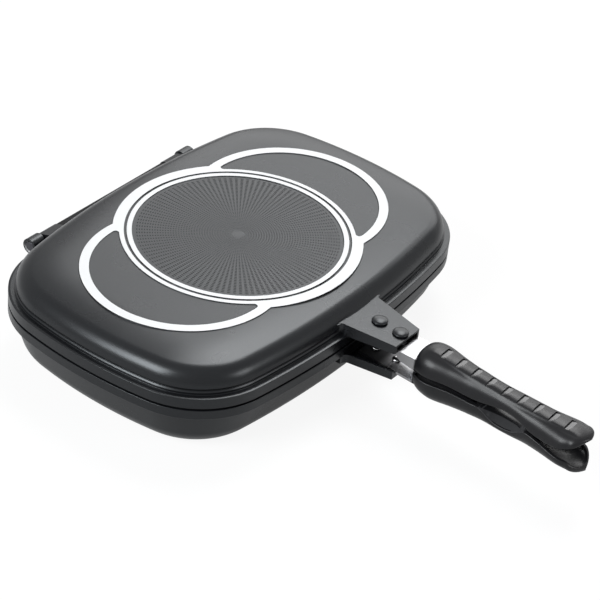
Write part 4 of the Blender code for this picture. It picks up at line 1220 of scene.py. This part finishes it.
def grip_measures(side, along):
    """Half width, height of the crown and height of the edge at a place along a grip."""
    half = GRIP_HALF * along_table(GRIP_SHARES, min(along, TIP_START), 1)
    if along > TIP_START:
        half *= max(0.02, 1 - ((along - TIP_START) / (1 - TIP_START)) ** 2) ** 0.72
    crown, edge = (along_table(GRIP_SHARES, along, CROWN_COLUMN[side] + i) for i in range(2))
    return half, GRIP_HEIGHT * crown, GRIP_HEIGHT * edge


def arch(half, steps):
    """Points of a grip's soft arch: x, and how much of the rise is reached there."""
    points = []
    for i in range(steps + 1):
        across = math.cos(math.pi * i / steps)
        share = abs(math.sin(math.pi * i / steps)) ** (2 / SECTION_POWER)
        points.append((half * math.copysign(abs(across) ** (2 / SECTION_POWER), across), share))
    return points


def flank_drop(side, along, x, share):
    """How far the flank lies below the raised spine of the upper grip; the lower grip has none."""
    if side < 0:
        return 0
    present = smooth_step(along, 0.03, 0.10) * (1 - smooth_step(along, 0.90, 0.97))
    return SPINE_RISE * present * share * smooth_step(abs(x), SPINE_HALF, SPINE_HALF + 0.0018)


def crown_at(side, along, x):
    """Height of a grip's back over a point of its plan."""
    half, crown, foot = grip_measures(side, along)
    across = min(1, abs(x) / half) ** (SECTION_POWER / 2)
    share = math.sqrt(1 - across * across) ** (2 / SECTION_POWER)
    return foot + (crown - foot) * share - flank_drop(side, along, x, share)


def grip_ring(side, along):
    half, crown, foot = grip_measures(side, along)
    soft = min(0.0004, 0.2 * half)
    y = grip_y(along)
    ring = []
    for x, share in arch(half, SECTION_STEPS):
        z = foot + soft + (crown - foot - soft) * share - flank_drop(side, along, x, share)
        ring.append((x, y, side * z))
    return ring + [((half - soft) * share, y, side * foot) for share in (-1, -0.5, 0, 0.5, 1)]


def grip_stations():
    nose = [0.0, 0.002, 0.005, 0.009, 0.014, 0.021, 0.030, 0.040, 0.052, 0.064]
    tip = [TIP_START + (1 - TIP_START) * math.sin(math.pi / 2 * i / 16) for i in range(17)]
    return nose + [0.075 + (TIP_START - 0.075) * i / 90 for i in range(90)] + tip


def core(side, start, end, depth):
    """What is cored out of a grip, so that it is a shell of even thickness."""
    rings = []
    for i in range(61):
        along = start + (end - start) * i / 60
        half, crown, foot = grip_measures(side, along)
        half -= SHELL if depth == 1 else THIN_SHELL
        crown = max(min(crown - SHELL, foot + depth), foot + 0.001)
        y = grip_y(along)
        ring = [(x, y, side * (foot + (crown - foot) * share)) for x, share in arch(half, 24)]
        rings.append(ring + [(x, y, side * (foot - 0.004)) for x in (-half, half)])
    return loft("core", rings)


def scallop_middle(side):
    """The raised middle between the two finger scallops."""
    rings = []
    for i in range(41):
        along = SCALLOP[0][0] + (SCALLOP[-1][0] - SCALLOP[0][0]) * i / 40
        half, crown, foot = grip_measures(side, along)
        slope = foot * along_table(SCALLOP, along, 2)
        wide = half - SCALLOP_MARGIN
        right = [(wide, foot + 0.0015), (wide, foot), (wide - slope, foot - slope * SCALLOP_SLOPE)]
        y = grip_y(along)
        rings.append([(x, y, side * z) for x, z in right + [(-x, z) for x, z in reversed(right)]])
    return loft("scallop_middle", rings)


def grip(name, side, seat, cores):
    block = link(name, loft(name, [grip_ring(side, along) for along in grip_stations()]))
    slot = SLOT_HALF + SEAT_GAP
    front = 0.002 - GRIP_FRONT
    step = grip_y(0) - MOUTH_DEPTH - MOUTH_STEP
    back = grip_y(0) - SLOT_DEPTH - SEAT_GAP
    low, high = sorted((-side * 0.002, seat + side * SEAT_GAP))
    covered = MOUTH_ROOF if side < 0 else high
    sockets = [prism("mouth", oblong(SEAT_HALF, step, front), low, covered),
               prism("slot", oblong(slot, back, step + 0.001), low, high)]
    block = combine(block, sockets, "DIFFERENCE")
    for start, end, depth in cores:
        hollow = link("hollow", core(side, start, end, depth))
        if depth < 1:
            wall = prism("wall", oblong(slot + THIN_SHELL, back, front), -0.02, 0.02)
            hollow = combine(hollow, [wall], "DIFFERENCE")
        block = combine(block, [evaluated(hollow)], "DIFFERENCE")
    block = combine(block, [notches(side)], "DIFFERENCE")
    if side < 0:
        block = combine(block, [scallop_middle(side)], "UNION")
    mesh = evaluated(block)
    for face in mesh.polygons:
        x, y, z = face.center
        along = -(y + GRIP_FRONT) / GRIP_LENGTH
        slope = -side * face.normal.z
        # the scallop slopes take the matt bakelite, whose lighter grey is partly painted light
        if side < 0 and SCALLOP[0][0] < along < SCALLOP[-1][0] and 0.5 < slope < 0.95:
            face.material_index = 1
        if NOTCH_START < -y - GRIP_FRONT < 0.13 and abs(x) < 0.0066 and slope < -0.9:
            if 0.0001 < crown_at(side, along, x) - side * z < 0.002:
                face.material_index = 2
    return mesh


def notches(side):
    """Nine wedges whose floors follow the crown, each with its deep end toward the pan."""
    bm = bmesh.new()
    for i in range(NOTCHES):
        front = NOTCH_START + NOTCH_PITCH * i
        rows = []
        for j in range(7):
            share = j / 6
            place = front + NOTCH_LENGTH * share
            row = []
            for k in range(15):
                x = NOTCH_HALF * (k / 7 - 1) - 0.0010
                crown = (crown_at(side, place / GRIP_LENGTH, x) + crown_at(side, place / GRIP_LENGTH, 0)) / 2
                z = crown - NOTCH_DEPTH * (1 - share) + 0.00005
                row.append((x, -GRIP_FRONT - place, side * z))
            rows.append(row)
        floor = [[bm.verts.new(point) for point in row] for row in rows]
        roof = [[bm.verts.new((x, y, z + side * 0.003)) for x, y, z in row] for row in rows]
        for layer in (floor, roof):
            for first, second in zip(layer, layer[1:]):
                for k in range(14):
                    bm.faces.new((first[k], first[k + 1], second[k + 1], second[k]))
        rim = ([(0, k) for k in range(15)] + [(j, 14) for j in range(1, 7)]
               + [(6, k) for k in range(13, -1, -1)] + [(j, 0) for j in range(5, 0, -1)])
        for (a, b), (c, d) in zip(rim, rim[1:] + rim[:1]):
            bm.faces.new((floor[a][b], floor[c][d], roof[c][d], roof[a][b]))
    return mesh_from("notches", bm)


for body, side, seat, cores in (
        ("upper", 1, SHANK_TOP, [(0.40, 0.985, 1)]),
        ("lower", -1, LOWER_SEAT, [(0.02, 0.37, 0.0025), (0.70, 0.985, 1)])):
    mesh = grip(body + "_grip_shell", side, seat, cores)
    add_piece(body + "_grip_shell", mesh, body, bakelites, [body + "_grip"], False)

# %% [markdown]
# ## Pieces that keep their shape
#
# The shanks, the seal, the screws and the magnets are already right in the frame, so they only
# need a finish. Assigning to the object's material slots leaves its mesh as it is.

# %% Pieces that keep their shape
KEPT = {
    "upper_shank": polished_steel, "lower_shank": polished_steel, "silicone_gasket": silicone,
    "upper_grip_screw": polished_steel, "lower_grip_screw": polished_steel,
    "upper_magnet": magnet_grey, "lower_magnet": magnet_grey}
for node, material in KEPT.items():
    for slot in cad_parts[node].material_slots:
        slot.material = material
    print(node, "keeps its shape and gets", material.name)

# %% [markdown]
# ## Floor, world and lamps
#
# A plain pale studio: a floor that the camera sees as white and that still takes the pan's
# shadow, and soft lamps above. Reflections see floor and backdrop greyer, because a white floor
# made the lower walls too light. The backdrop beyond the floor is a light grey, not white. The
# lamps give a level white face about 1.1, and 1.2 with the world, so the machined ribs clip.

# %% Floor and world
def fresh_tree(owner):
    owner.use_nodes = True
    owner.node_tree.nodes.clear()
    return owner.node_tree


def studio_mix(tree, lit, seen):
    """Lit for most rays; seen for camera, glossy and transmission rays."""
    rays = tree.nodes.new("ShaderNodeLightPath").outputs
    larger = {"operation": "MAXIMUM"}
    first = wire(tree, "ShaderNodeMath", {0: rays["Is Camera Ray"], 1: rays["Is Glossy Ray"]}, larger)
    second = wire(tree, "ShaderNodeMath", {0: first, 1: rays["Is Transmission Ray"]}, larger)
    shaders = {0: second, 1: lit, 2: seen}
    return wire(tree, "ShaderNodeMixShader", shaders)


def mirrored_level(tree, plain, mirrored):
    """One value for most rays and another for reflections."""
    rays = tree.nodes.new("ShaderNodeLightPath").outputs
    levels = {"Value": rays["Is Glossy Ray"], "To Min": plain, "To Max": mirrored}
    return wire(tree, "ShaderNodeMapRange", levels)


def floor_material():
    material = bpy.data.materials.new("floor")
    tree = fresh_tree(material)
    diffuse = wire(tree, "ShaderNodeBsdfDiffuse", {"Color": mirrored_level(tree, 0.12, 0.48)})
    glow = wire(tree, "ShaderNodeEmission", {"Strength": mirrored_level(tree, 0.90, 0.28)})
    both = wire(tree, "ShaderNodeAddShader", {0: diffuse, 1: glow})
    wire(tree, "ShaderNodeOutputMaterial", {0: studio_mix(tree, diffuse, both)})
    return material


bm = bmesh.new()
bmesh.ops.create_grid(bm, x_segments=1, y_segments=1, size=4)
floor = link("floor", mesh_from("floor", bm))
floor.data.materials.append(floor_material())

world = bpy.data.worlds.new("studio")
bpy.context.scene.world = world
tree = fresh_tree(world)
low_light = wire(tree, "ShaderNodeBackground", {"Color": (0.93, 0.96, 1.0, 1), "Strength": 0.10})
backdrop = wire(tree, "ShaderNodeBackground", {"Strength": mirrored_level(tree, 1.0, 0.75)})
wire(tree, "ShaderNodeOutputWorld", {0: studio_mix(tree, low_light, backdrop)})
print("floor and world have", len(floor.data.materials[0].node_tree.nodes), "and", len(tree.nodes), "nodes")

# %% Lamps
CENTRE = Vector((0, 0.05, 0.04))
DISTANCE = 2.0


def softbox(name, turn, height, size, radiance, colour=(1, 1, 1)):
    """A softbox given by its direction in degrees and by how bright its face is."""
    turn, height = math.radians(turn), math.radians(height)
    way = Vector((math.sin(turn) * math.cos(height), math.cos(turn) * math.cos(height), math.sin(height)))
    place = CENTRE + DISTANCE * way
    lamp = bpy.data.lights.new(name, "AREA")
    lamp.shape = "RECTANGLE"
    lamp.size, lamp.size_y = size
    lamp.energy = math.pi * size[0] * size[1] * radiance
    lamp.color = colour
    obj = link(name, lamp)
    aim = CENTRE - place
    obj.matrix_world = Matrix.Translation(place) @ aim.to_track_quat("-Z", "Y").to_matrix().to_4x4()
    print(name, "at", [round(v, 2) for v in place], "gives", round(lamp.energy, 1), "W")


softbox("key", 68, 58, (0.80, 1.00), 7.6)
softbox("back_wall", 70, 30, (1.9, 1.1), 2.1)
softbox("left_side", -74, 34, (0.86, 0.95), 12.5, (0.95, 0.98, 1.0))
softbox("front", 168, 24, (0.70, 0.60), 5.5)
